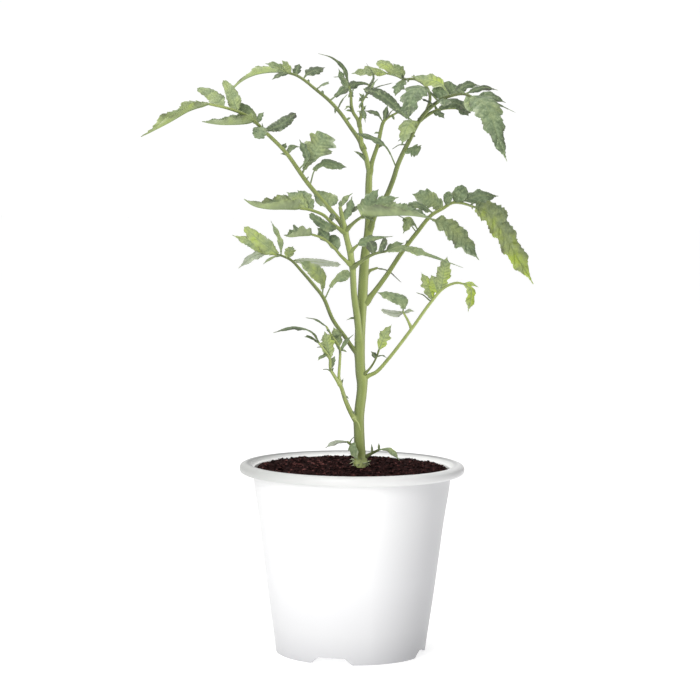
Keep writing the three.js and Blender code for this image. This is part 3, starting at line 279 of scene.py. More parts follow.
rib("leaf_middle_right", [
    (5.6, 0, 178), (8.8, 1, 181.7), (16.5, 6, 191.8), (24.3, 13, 203.4), (32.2, 21, 213.4),
    (39.9, 30, 222.3), (46.1, 36, 225.8), (51.2, 42, 228.6), (56.5, 47, 228.4), (62.7, 53, 226.5),
], [1.5, 1.35, 1.2, 1.15, 1.1, 1, 0.9, 0.8, 0.7, 0.6],
    blade(9, 22, (70, 62, 224.1), (76.9, 69, 217.1), (85.2, 79, 204.1), (97.5, 88, 184.3), stalk=0.03,
        face=(0.1, -0.9, 0.6), halves=(1, 0.72), tone=(0.4, 0.85, 1.1)),
    blade(7.6, 10, (65, 50, 232.2), (76.2, 57, 232.2), face=(0, -0.9, 0.6), tone=-0.1),
    blade(7.2, 8, (58.3, 42, 236.8), face=(0, -1, 0.4), shape="blunt"),
    blade(4.8, 13, (49.7, 33, 216.2), (58.4, 38, 207.8), (65.4, 40, 198.9), face=(0.2, -0.9, 0.5),
        shape="broad", tone=0.35),
    blade(6, 11, (40.3, 36, 230.1), (29.9, 36, 233.1), stalk=0.1, face=(0, -1, 0.5), shape="broad",
        tone=0.5),
    blade(5.2, 8, (26.1, 16, 227.2), face=(0, -0.8, 0.7)),
    blade(6.4, 4.6, (49, 34, 234.6), face=(0, -1, 0), shape="blunt", tone=-0.1),
    blade(4, 3, (21.3, 12, 223.1), stalk=0.5, tone=-0.2),
    blade(4.1, 7, (29.1, 17, 220.5), (24.9, 12, 213.1), stalk=0.2, face=(-0.3, -1, 0.3), tone=0.6),
)
rib("leaf_lower_left", [
    (3.6, 0, 152), (0.5, 0, 154.4), (-3.7, 3, 160), (-10.4, 7, 169), (-15.5, 13, 180), (-21.1, 18, 186.8),
    (-26.6, 23, 192.7), (-32.2, 28, 198.2), (-37.8, 33, 200.6), (-43.5, 38, 201.6),
], [1.3, 1.1, 1.05, 1, 0.95, 0.9, 0.8, 0.7, 0.6, 0.55],
    blade(9, 6, (-51.8, 42, 200.2), (-60.6, 44, 193.3), face=(0, -0.9, 0.6), pale=0.35),
    blade(8, 7.5, (-50.2, 42, 205.7), (-64.1, 48, 210.6), face=(-0.1, -1, 0.5), shape="entire", tone=0.75),
    blade(8.3, 8.5, (-48, 35, 207.4), (-57.6, 39, 215.3), stalk=0.03, face=(-0.3, -0.9, 0.5),
        shape="sheathing", tone=(0.85, 0.7)),
    blade(8, 3.6, (-38.5, 32, 208.6), (-43.3, 31, 218.7), face=(-0.4, -1, 0.2), tone=0.45),
    blade(8, 4, (-47, 26, 196.4), tone=0.1),
    blade(7.4, 6.5, (-31.5, 23, 205.7), face=(0.3, -1, 0.4), tone=0.7),
    blade(7, 5.5, (-23.8, 34, 197.8), (-6.7, 38, 196), face=(0, -0.8, 0.7), shape="blunt", tone=0.2,
        pale=0.5),
    blade(4.1, 8.5, (-16.2, 8, 190.2), (-28.1, 5, 199.2), stalk=0.3, face=(-0.2, -0.8, 0.6),
        shape="entire", tone=0.6),
    blade(3.9, 6, (-9.8, 13.4, 188.5), (-1.9, 9, 193.2), stalk=0.56, face=(-0.2, -1, 0.4), shape="blunt",
        tone=0.5),
)
rib("leaf_lower_right", [
    (4.2, 0, 138.5), (7.4, -1, 141), (11.9, -4, 143.6), (18.1, -9, 151), (29.1, -19, 166.6),
    (37.7, -28, 179.8), (44.2, -35, 187.9), (50.2, -41, 190.8), (53.5, -44, 190.5),
], [1.3, 1.05, 0.95, 0.9, 0.85, 0.8, 0.7, 0.6, 0.5],
    blade(8, 6, (57, -47, 187.7), (55.6, -51, 177.2), face=(0.6, -1, 0.4), tone=(1.25, 0.95)),
    blade(8, 2.6, (60.8, -45, 189), face=(0, -1, 0.4), tone=0.9),
    blade(5.8, 8, (45.8, -34, 203.4), face=(0, -1, 0.2), shape="broad", tone=(0.5, 0.85)),
    blade(5.6, 8, (38.2, -27, 194), face=(0, -1, 0.3), tone=(1.15, 0.6)),
    blade(5.2, 7, (33.4, -24, 195), face=(0, -1, 0.4), tone=(0.8, 1.2)),
    blade(5.1, 3.4, (30.9, -32, 185.5), tone=-0.5),
)
rib("leaf_lower_right", [(29.1, -19, 166.6), (27, -16, 171), (24.8, -14, 174.7)], [0.7, 0.6, 0.5],
    blade(2, 7, (24.3, -12, 179.8), (11.7, -8.5, 184.2), face=(0.2, -1, 0.6), shape="entire", tone=0.2),
    blade(2, 4.4, (20.5, -19, 174.2), (13.7, -22, 176), face=(0, -0.8, 0.7), shape="blunt", pale=0.6),
    blade(1.9, 3, (30.4, -18, 175.4), face=(0, -0.9, 0.6), pale=0.4),
)
rib("leaf_top_left", [
    (4.6, 1, 255.5), (2.3, 3, 260.2), (-2.2, 6, 266.6), (-7.5, 9, 274), (-13.1, 13, 280.2),
    (-20.1, 18, 286), (-26.9, 23, 291.4), (-30.7, 26, 293.6), (-35.4, 30, 295),
], [1.1, 1.1, 1, 0.95, 0.9, 0.8, 0.75, 0.7, 0.6],
    blade(8, 5.6, (-41.6, 32, 295.6), (-52.1, 36, 294.1), (-60, 40, 290.3), (-67.5, 44, 283.1), stalk=0.03,
        cup=1.3, shape="tailed", tone=0.55),
    blade(8.1, 5, (-46.7, 30, 299.6), face=(0, -1, 0.5), tone=0.3),
    blade(7.6, 4.5, (-38, 27, 301.2), face=(0, -1, 0), tone=0.8),
    blade(7.8, 4, (-42.9, 24.5, 291.2), face=(0, -0.7, 0.7), tone=-0.3),
    blade(7, 5, (-29, 33, 299.8), face=(0, -1, 0.3), tone=-0.3),
    blade(6, 8, (-24.5, 26, 294.6), (-15.8, 34, 298), stalk=0.2, face=(0, -0.9, 0.6), tone=-0.5),
    blade(5, 5, (-13.4, 8, 288.8), stalk=0.3, face=(0, -0.7, 0.7), tone=-0.2),
    blade(4, 5, (-4, 14, 287.4), (4, 17, 289.5), (11.9, 19, 286.3), stalk=0.2, face=(0, -0.9, 0.6),
        shape="tailed", tone=-0.4),
    blade(3.3, 3, (-4.2, 6.5, 283.6), tone=-0.3),
)
rib("growing_tip", [
    (2.3, -1, 267), (1.6, -1.2, 270), (-1, -2, 274), (-2, -3, 277.6), (-2.4, -4, 284), (-3.4, -4, 287.3),
], [0.8, 0.8, 0.8, 0.8, 0.7, 0.6],
    blade(5, 2.8, (-5.7, -6, 295.6), (-11.8, -9, 301), (-18.7, -12, 303), face=(0.3, -1, 0.5),
        shape="tailed", tone=-0.5),
    blade(4.6, 4, (-6.6, -3, 291), (-8.6, -4, 296), face=(0, -1, 0.3), tone=0.1),
    blade(5, 2.6, (-6, -7, 291.5), (-11, -12, 291.5), tone=-0.4),
    blade(3, 2.6, (-5.5, -5.5, 275.5), tone=0.2),
)
rib("growing_tip", [
    (2.3, -1, 267), (2.2, -1.6, 270), (3.2, -2.5, 273), (3.6, -3.5, 276), (3.4, -4, 279.4),
    (5.3, -4, 282.5),
], [0.8, 0.8, 0.8, 0.7, 0.6, 0.5],
    blade(5, 2.6, (7, -13, 286.5), (8.8, -21, 292), (5.3, -25, 297.7), face=(0.6, -1, 0.2), tone=-0.4),
    blade(5, 3, (7, -6.5, 286.5), (11.2, -9, 290.9), face=(0, -1, 0.5), tone=0.4),
    blade(5, 2.4, (10, -5, 286.5), (18.5, -3.5, 289.2), tone=-0.5),
    blade(3, 2.4, (5.1, -7, 269), face=(0, -1, 0), tone=-0.5),
)
rib("top_right_shoot", [
    (7.4, 0, 243), (8.7, 1, 249.4), (11.6, 3, 258.5), (14.2, 6, 269.5), (16, 7, 271.5), (20.7, 10, 274.2),
], [1.1, 1.1, 1, 0.9, 0.7, 0.5],
    blade(3, 3.6, (11, 6, 273.8), (4.8, 6.5, 275.4), stalk=0.3, face=(0, -0.8, 0.8), tone=-0.6),
    blade(5, 4.5, (25.5, 13, 277.6), face=(0, -0.7, 0.7), tone=-0.4),
    blade(3.3, 3, (16.5, 4, 279), face=(0, -1, 0), tone=-0.1),
    blade(3.8, 2.6, (20.4, 4, 277), tone=-0.4),
)
rib("leaf_small_back", [(6, 0, 192.5), (7.9, 3.5, 194.3), (11.8, 9, 195.6)], [0.9, 0.8, 0.6],
    blade(2, 3.2, (17.4, 17, 194), (24.6, 23, 187.8), stalk=0.05, tone=-0.8),
)
rib("base_leaf_left", [(4, -1, 101), (1.6, -3.5, 104.3), (-2.4, -9, 108.4)], [0.9, 0.8, 0.6],
    blade(2, 4.5, (-13.7, -20, 106.5), face=(0, -0.6, 0.9), tone=-0.2, pale=0.5),
    blade(1.6, 6, (-0.4, -11, 106.5), (2.9, -14, 99.8), face=(-0.5, -1, 0.3), tone=(0.2, 0.45)),
    blade(1.8, 2.4, (0.8, -8, 111), tone=-0.3),
)
rib("base_leaf_right", [(4.5, -1, 98.5), (8.7, -3, 101.3), (13.5, -8, 104.4)], [0.9, 0.8, 0.6],
    blade(2, 5, (18.4, -13, 105.4), (23.8, -18, 100.5), face=(0, -0.5, 1), tone=(0.6, 0.1)),
    blade(1.3, 1.2, (9.8, -7, 107.5)),
    blade(2, 1.2, (13.4, -10.5, 108.4)),
)
rib("axil_shoot", [
    (3.9, -0.6, 140.6), (6.6, -2.2, 143), (9.2, -4.2, 146.2), (11.5, -8, 150.7), (13, -12, 155.5),
], [0.8, 0.65, 0.55, 0.5, 0.5],
    blade(4, 7, (19.1, -14.5, 168.3), stalk=0.08, face=(-0.4, -1, 0.2), tone=0.8),
    blade(3, 2.8, (9, -11, 154.5), face=(0, -1, 0.2), tone=-0.4),
    blade(3.2, 2.8, (16.8, -17.5, 152)),
)
rib("shoot_leaf_right", [
    (-1, -13, 196.5), (5.4, -17.5, 201.2), (9.9, -20.5, 203.8), (15.9, -25, 205.4),
], [1, 0.85, 0.75, 0.6],
    blade(3, 4.6, (25, -33, 207.3), (37, -42, 204.1), (52.7, -53, 198.8), stalk=0.03, face=(0, -0.9, 0.5),
        shape="tailed", tone=0.35),
    blade(2, 5.5, (7.5, -17, 210), face=(-0.3, -1, 0.3), shape="blunt", tone=-0.6),
    blade(2.4, 5.5, (16.2, -29, 211), face=(-0.3, -0.8, 0.5), shape="blunt", tone=-0.6),
    blade(3, 5, (24.8, -21, 209.5), face=(0, -0.8, 0.7), tone=0.2),
)
rib("shoot_leaf_small", [(-2.5, -15, 204), (-0.4, -15.3, 206), (1.7, -14.3, 208)], [0.8, 0.7, 0.6],
    blade(2, 5.4, (8.5, -12.5, 211), (19.5, -12, 212.5), stalk=0.03, face=(0, -0.9, 0.6), shape="tailed",
        tone=0.1),
)
rib("shoot_leaf_front", [(-4.5, -17.5, 215), (0.6, -22, 220), (4.4, -25, 222.7)], [0.9, 0.8, 0.7],
    blade(2, 12, (15, -33, 223.5), (27.1, -40, 223.7), (37.2, -46, 222.5), stalk=0.03, cup=1.1,
        shape="tapered", tone=0.1),
    blade(1.8, 10, (11.8, -27, 236.1), face=(-0.3, -1, 0.3), shape="tapered", tone=0.2),
    blade(2, 7, (21.8, -31, 232.3), face=(-0.2, -1, 0.4), tone=0.25),
    blade(1.5, 4, (10, -31, 220.4), face=(0, -0.2, 1)),
)
rib("shoot_leaf_left", [
    (-4.5, -17.5, 214), (-10.6, -21.5, 218.5), (-15.4, -25, 223), (-22.2, -29, 225.6),
    (-26.8, -31.5, 226.2),
], [0.9, 0.85, 0.8, 0.7, 0.6],
    blade(4, 9.5, (-34, -38, 226.3), (-42.1, -43, 226.3), (-48.8, -47, 227.8), (-53.5, -50, 230.9),
        stalk=0.03, cup=1.2, shape="tapered", tone=0.4),
    blade(3.2, 8, (-33.8, -20, 234.1), face=(0, -0.9, 0.6), tone=0.5),
    blade(2.8, 8, (-28.5, -15, 235), face=(0, -1, 0.5), tone=0.3),
    blade(0.6, 5, (-12.5, -27, 217), (-22.3, -34, 223.6), face=(0, -1, 0.4), shape="blunt", tone=0.1),
    blade(1.3, 3, (-10.1, -25, 223.5), face=(0, -1, 0.4), shape="blunt", tone=-0.9),
)
rib("shoot_leaf_low_left", [
    (-1.2, -13, 197.5), (-6.5, -18, 202.6), (-9.8, -22, 206.6), (-15.3, -28, 211.5), (-20.9, -33, 213.6),
], [0.85, 0.8, 0.7, 0.65, 0.55],
    blade(4, 8, (-26.6, -38, 213.2), (-30.9, -40, 212.7), (-34.3, -42, 213.4), stalk=0.03, cup=1.2,
        shape="middling", tone=0.15),
    blade(2.6, 7, (-18.4, -26, 216.8), face=(0, -1, 0.4), shape="small", tone=-0.4),
    blade(1.6, 6, (-11.6, -18, 213), face=(0, -0.9, 0.6), shape="blunt"),
)

STEMS = ["main_stem", "side_shoot", "low_shoot"]
YOUNG = [
    "growing_tip", "top_right_shoot", "axil_shoot", "base_leaf_left", "base_leaf_right", "shoot_leaf_small",
]
# tiny young leaflets on each rib, over those of the table
BUDS = {
    "growing_tip": 16, "leaf_top_left": 8, "low_shoot": 8, "leaf_upper_right": 8, "leaf_upper_left": 4,
    "leaf_middle_right": 5, "top_right_shoot": 3,
}
# how pale or dark the stalks are, where it isn't 0
STALK_TONES = {
    "main_stem": 0.3, "side_shoot": 0.3, "low_shoot": 0.6, "leaf_upper_left": 0.1, "leaf_lower_left": -0.1,
    "leaf_lower_right": 0.75, "leaf_upper_right": -0.1, "axil_shoot": 0.1,
}


def draws_from(seed):
    """The part's own random source, so that each leaflet is as wide here as in its solid."""
    word = 0xFFFFFFFF
    state = seed
    while True:
        state = (state + 0x6D2B79F5) & word
        t = ((state ^ (state >> 15)) * (1 | state)) & word
        t = ((t + (((t ^ (t >> 7)) * (61 | t)) & word)) & word) ^ t
        yield (t ^ (t >> 14)) / 2**32


def unit(vectors):
    return vectors / np.linalg.norm(vectors, axis=-1, keepdims=True)


def turns(count):
    return np.arange(count) * 2 * math.pi / count


def carried(along, start):
    """An up direction for each given direction, carried on from the one before without a twist."""
    ups = np.empty_like(along)
    up = np.array(start, dtype=float)
    for i, forward in enumerate(along):
        up = unit(up - forward * (up @ forward))
        ups[i] = up
    return ups


class Curve:
    """A smooth line through points: the centripetal Catmull-Rom curve that the part's source draws."""

    def __init__(self, points):
        p = np.array(points, dtype=float)
        self.points = np.vstack([2 * p[0] - p[1], p, 2 * p[-1] - p[-2]])
        self.spans = len(p) - 1
        self.counts = np.linspace(0, self.spans, self.spans * 24 + 1)
        steps = np.linalg.norm(np.diff(self.at_count(self.counts), axis=0), axis=1)
        self.travel = np.concatenate([[0.0], np.cumsum(steps)])
        self.length = self.travel[-1]

    def at_count(self, count):
        count = np.clip(np.asarray(count, dtype=float), 0, self.spans)
        low = np.minimum(count.astype(int), self.spans - 1)
        x = (count - low)[..., None]
        p = [self.points[low + k] for k in range(4)]
        d = [np.sqrt(np.linalg.norm(p[k + 1] - p[k], axis=-1, keepdims=True)) for k in range(3)]
        first, chord, last = p[1] - p[0], p[2] - p[1], p[3] - p[2]
        start = d[1] * (first / d[0] - (p[2] - p[0]) / (d[0] + d[1]) + chord / d[1])
        end = d[1] * (chord / d[1] - (p[3] - p[1]) / (d[1] + d[2]) + last / d[2])
        square = 3 * chord - 2 * start - end
        cube = 2 * (p[1] - p[2]) + start + end
        return p[1] + start * x + square * x**2 + cube * x**3

    def count_at(self, share):
        return np.interp(np.clip(share, 0, 1) * self.length, self.travel, self.counts)

    def at(self, share):
        return self.at_count(self.count_at(share))

    def along(self, share):
        middle = np.clip(share, 0.001, 0.999)
        return unit(self.at(middle + 0.001) - self.at(middle - 0.001))


def grid_quads(rows, columns, closed=False):
    """Faces of a grid of points, row by row, seen face on with rows running up and columns to the right."""
    i, j = np.meshgrid(np.arange(rows - 1), np.arange(columns if closed else columns - 1), indexing="ij")
    a = i * columns + j
    b = i * columns + (j + 1) % columns
    return np.stack([a, b, b + columns, a + columns], axis=-1).reshape(-1, 4)


def sheet_quads(rows, columns):
    """Faces of a thin sheet: an upper grid, a lower grid whose points follow it, and the four edges."""
    upper = grid_quads(rows, columns)
    below = rows * columns
    left = np.arange(rows - 1) * columns
    right = left + columns - 1
    near = np.arange(columns - 1)
    far = near + (rows - 1) * columns
    return np.concatenate([
        upper,
        upper[:, ::-1] + below,
        np.stack([right + below, right + below + columns, right + columns, right], axis=-1),
        np.stack([left, left + columns, left + below + columns, left + below], axis=-1),
        np.stack([near + below, near + below + 1, near + 1, near], axis=-1),
        np.stack([far, far + 1, far + below + 1, far + below], axis=-1),
    ])


class Shape:
    """Closed shells gathered into one mesh, with a few values at each point for its material."""

    VALUES = ["tone", "vein", "crease", "under", "edge", "stripe", "hair", "pale"]

    def __init__(self):
        self.count = 0
        self.points = []
        self.quads = [np.empty((0, 4), dtype=int)]
        self.triangles = [np.empty((0, 3), dtype=int)]
        self.values = {name: [] for name in self.VALUES}

    def add(self, points, quads=(), triangles=(), **values):
        self.points.append(points)
        self.quads.append(np.reshape(quads, (-1, 4)).astype(int) + self.count)
        self.triangles.append(np.reshape(triangles, (-1, 3)).astype(int) + self.count)
        for name, parts in self.values.items():
            parts.append(np.broadcast_to(values.get(name, 0.0), len(points)))
        self.count += len(points)

    def add_rings(self, rings, ends, **values):
        """A shell of rings of points, closed by a fan onto a point in the middle of each end."""
        count, sides = rings.shape[:2]
        k = np.arange(sides)
        k_next = (k + 1) % sides
        middle = np.full(sides, count * sides)
        last = (count - 1) * sides
        first_fan = np.stack([middle, k_next, k], axis=-1)
        last_fan = np.stack([middle + 1, last + k, last + k_next], axis=-1)
        points = np.vstack([rings.reshape(-1, 3), ends])
        self.add(points, grid_quads(count, sides, closed=True), np.vstack([first_fan, last_fan]), **values)

    def piece(self, name, material, crease=55):
        """A Blender object of the gathered shells, in metres, smooth but for edges over the given angle."""
        faces = np.concatenate(self.quads).tolist() + np.concatenate(self.triangles).tolist()
        mesh = bpy.data.meshes.new(name)
        mesh.from_pydata(np.concatenate(self.points) * MM, [], faces)
        mesh.validate()
        mesh.shade_smooth()
        mesh.set_sharp_from_angle(angle=math.radians(crease))
        for value, parts in self.values.items():
            spread = np.concatenate(parts).astype(np.float32)
            if spread.any():
                mesh.attributes.new(value, "FLOAT", "POINT").data.foreach_set("value", spread)
        mesh.materials.append(material)
        piece = bpy.data.objects.new(name, mesh)
        bpy.context.scene.collection.objects.link(piece)
        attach(piece, "root")
        return piece


# Stems and stalks

# the side of each stalk that its painted light falls on
SUNNY_SIDE = unit(np.array([1, -0.15, 0.1]))
RIDGE_TURN = 1.63


def add_tube(shape, curve, radius_at, sides, spacing, swell=None, sink=None, tone=0.0, **values):
    """A round tube along a curve, with its ends closed; returns what a coat of hair needs."""
    rings = max(4, int(curve.length / spacing) + 1)
    share = np.linspace(0, 1, rings)
    centre = curve.at(share)
    along = curve.along(share)
    up = carried(along, (0.3, 1.0, 0.2))
    side = np.cross(along, up)
    angle = turns(sides)
    out = up[:, None] * np.cos(angle)[:, None] + side[:, None] * np.sin(angle)[:, None]
    radius = radius_at(share)[:, None] * np.ones(sides)
    if swell is not None:
        radius = radius + swell(centre, out, angle)
    if sink is not None:
        centre = centre + sink(share)
    points = centre[:, None] + out * radius[..., None]
    ends = [centre[0] - along[0] * radius[0, 0] * 0.3, centre[-1] + along[-1] * radius[-1, 0] * 0.6]
    # painted light: lighter towards the sunny side, with four faint ridges around the stalk
    stripe = 0.46 + 0.46 * (out @ SUNNY_SIDE) + 0.08 * np.cos(4 * angle + RIDGE_TURN)
    if callable(tone):
        tone = np.append(np.repeat(tone(centre[:, 2]), sides), tone(centre[[0, -1], 2]))
    shape.add_rings(points, ends, tone=tone, stripe=np.append(stripe.ravel(), [0.5, 0.5]), **values)
    area = 2 * math.pi * radius.mean() * curve.length
    return {"points": points, "out": out, "along": along, "area": area}


def add_hairs(shape, coat, density, random, first_ring=2):
    """Fine hairs that stand out from a tube, each a closed three-sided spike."""
    points, out = coat["points"], coat["out"]
    rings, sides = points.shape[:2]
    count = int(coat["area"] * density)
    i = random.integers(first_ring, rings - 1, count)
    j = random.integers(0, sides, count)
    mix_i = random.random((count, 1))
    mix_j = random.random((count, 1))
    j_next = (j + 1) % sides
    row = points[i, j] * (1 - mix_j) + points[i, j_next] * mix_j
    next_row = points[i + 1, j] * (1 - mix_j) + points[i + 1, j_next] * mix_j
    foot = row * (1 - mix_i) + next_row * mix_i
    lean = unit(out[i, j] + out[i, j_next] + random.normal(0, 0.45, (count, 3)))
    length = HAIR_LENGTH * (0.35 + 0.65 * random.random((count, 1)))
    first = unit(np.cross(lean, coat["along"][i]))
    second = np.cross(lean, first)
    foot = foot - lean * 0.05
    corners = [foot + HAIR_RADIUS * (math.cos(a) * first + math.sin(a) * second) for a in HAIR_CORNERS]
    spikes = np.stack([*corners, foot + lean * length], axis=1)
    base = np.arange(count)[:, None] * 4
    faces = np.concatenate([base + face for face in ([0, 2, 1], [0, 1, 3], [1, 2, 3], [2, 0, 3])])
    shape.add(spikes.reshape(-1, 3), (), faces, hair=1.0)


def joint_swelling(stem):
    """How far a stem's surface swells towards the stalks and shoots that start near it."""
    joints = []
    for name, ribs in PLANT.items():
        if name != stem:
            path = np.array(ribs[0]["path"], dtype=float)
            joints.append((path[0], unit(path[2] - path[0])))

    def swell(centre, out, angle):
        extra = 0.07 * np.cos(4 * angle)[None, :] * np.ones((len(centre), 1))
        for place, direction in joints:
            offset = centre - (place + direction * 1.5)
            near = np.exp(-np.sum(offset**2, axis=1) / 2.6**2)
            towards = np.clip(out @ direction, 0, 1)
            extra = extra + 0.75 * near[:, None] * towards**1.5
        return extra

    return swell


def foot_swelling(centre, out, angle):
    """How far the foot of the main stem swells: rough lumps at soil level."""
    height = centre[:, 2][:, None]
    near_soil = np.exp(-(((height - 96.6) / 2.6) ** 2))
    lumps = np.sin(5 * angle[None, :] + 1.7 * height) * np.sin(3 * angle[None, :] - 2.3 * height + 1)
    return near_soil * (0.1 + 0.5 * lumps)


def add_knobs(shape, random):
    """The pale node that the low shoot leaves, and the frayed scales around the stem's foot."""
    node = Curve([(1.9, -2, 119.2), (0.9, -3, 120), (0.2, -3.6, 120.3)])
    add_tube(shape, node, lambda share: 1.35 - 0.2 * share, 12, 0.3, tone=0.9)
    ridge = Curve([(0.9, -3.4, 119.6), (2.9, -3.6, 117.5), (4.2, -3.6, 113.5)])
    add_tube(shape, ridge, lambda share: 0.65 - 0.4 * share, 8, 0.5, tone=1.0)
    for k in range(SCALE_COUNT):
        turn = (k + 0.6 * random.random()) * 2 * math.pi / SCALE_COUNT
        out = np.array([math.cos(turn), math.sin(turn), 0])
        foot = np.array([*SCALE_CENTRE, random.uniform(*SCALE_HEIGHTS)]) + out * SCALE_RING
        rise = np.array([0, 0, random.uniform(-0.4, 1)])
        length = random.uniform(1.8, 3.4)
        tip = foot + unit(out + rise) * length
        middle = (foot + tip) / 2 + (0, 0, random.uniform(-0.5, 0.5))
        thick = random.uniform(0.3, 0.5)
        tone = random.uniform(0.4, 1.5)
        hair = 0.3 + 0.7 * random.random()
        scale = Curve([foot, middle, tip])
        add_tube(shape, scale, lambda share: thick * (1 - 0.85 * share), 6, 0.4, tone=tone, hair=hair)


def main_stem_tone(height):
    """The main stem is palest at its foot."""
    return STALK_TONES["main_stem"] + 1.2 * np.exp(-(((height - 97) / 3) ** 2))


# Leaflets

def bud(core, random):
    """A tiny young leaflet somewhere on the outer part of a rib."""
    at = random.uniform(0.3, 1) * core.spans
    tip = core.at_count(at) + unit(random.normal(size=3) + (0, -0.3, 0.4)) * random.uniform(2, 4.4)
    face = random.normal(0, 0.5, 3) + (0, -1, 0.4)
    return blade(at, random.uniform(1, 2.1), tip, face=face, shape="small", tone=random.uniform(-0.8, 0.4))


def stations(spec, stalk, length, draw):
    """Share along the leaflet, left and right half width, lead and wave, as the part's source sets them."""
    rows = [(0, STALK_HALF, STALK_HALF, 0, 0)]
    by_width = next(kind for kind, least in LEAST_WIDTHS.items() if spec["wide"] >= least)
    outline = OUTLINES[spec["shape"] or by_width]
    if stalk * length <= LONG_STALK:
        outline = outline[1:]
    for along, half, lead in outline:
        full = [spec["wide"] / 2 * share * half * (0.9 + 0.2 * next(draw)) for share in spec["halves"]]
        left, right = (max(STALK_HALF, width) for width in full)
        rows.append((stalk + along * (1 - stalk), left, right, lead * (1 - stalk), (next(draw) - 0.5) * 0.3))
    rows[-1] = (rows[-1][0], 0.08, 0.08, *rows[-1][3:])
    return np.array(rows)


def margin(rows, column, share, length):
    """Half width along one edge: rounded lobes between sharp cuts, with small teeth that point forward."""
    low = np.clip(np.searchsorted(rows[:, 0], share, side="right") - 1, 0, len(rows) - 2)
    start, end = rows[low, column], rows[low + 1, column]
    span = rows[low + 1, 0] - rows[low, 0]
    x = (share - rows[low, 0]) / span
    rising = 1 - (1 - x) ** 1.3
    falling = 1 - (1 - x) ** 2
    width = start + (end - start) * np.where(end > start, rising, falling)
    count = np.clip((span * length / 2.0).astype(int), 0, 4)
    saw = ((x * (count + 0.3)) % 1) ** 1.4 - 0.45
    tooth = 0.18 * np.maximum(start, end) * np.sin(math.pi * np.clip(x, 0, 1)) ** 0.7 * saw
    return np.maximum(width + np.where(count > 0, tooth, 0), 0.06)


def distance_from_veins(rows, share, reach_out, length):
    """Millimetres to the nearest side vein: one ends at each lobe, and a finer one between two lobes."""
    widths = rows[:, 1] + rows[:, 2]
    lobes = [i for i in range(1, len(rows) - 1) if widths[i] > widths[i - 1] and widths[i] >= widths[i + 1]]
    main = [rows[i, 0] for i in lobes]
    between = [(a + b) / 2 for a, b in zip(main, main[1:] + [1.0])]
    nearest = np.full((len(share), reach_out.shape[1]), FAR_AWAY)
    for shares, gauge in ((main, 1), (between, 1.5)):
        for vein_share in shares:
            on_vein = vein_share - 0.07 * (1 - reach_out)
            nearest = np.minimum(nearest, gauge * np.abs(share[:, None] - on_vein) * length)
    return nearest


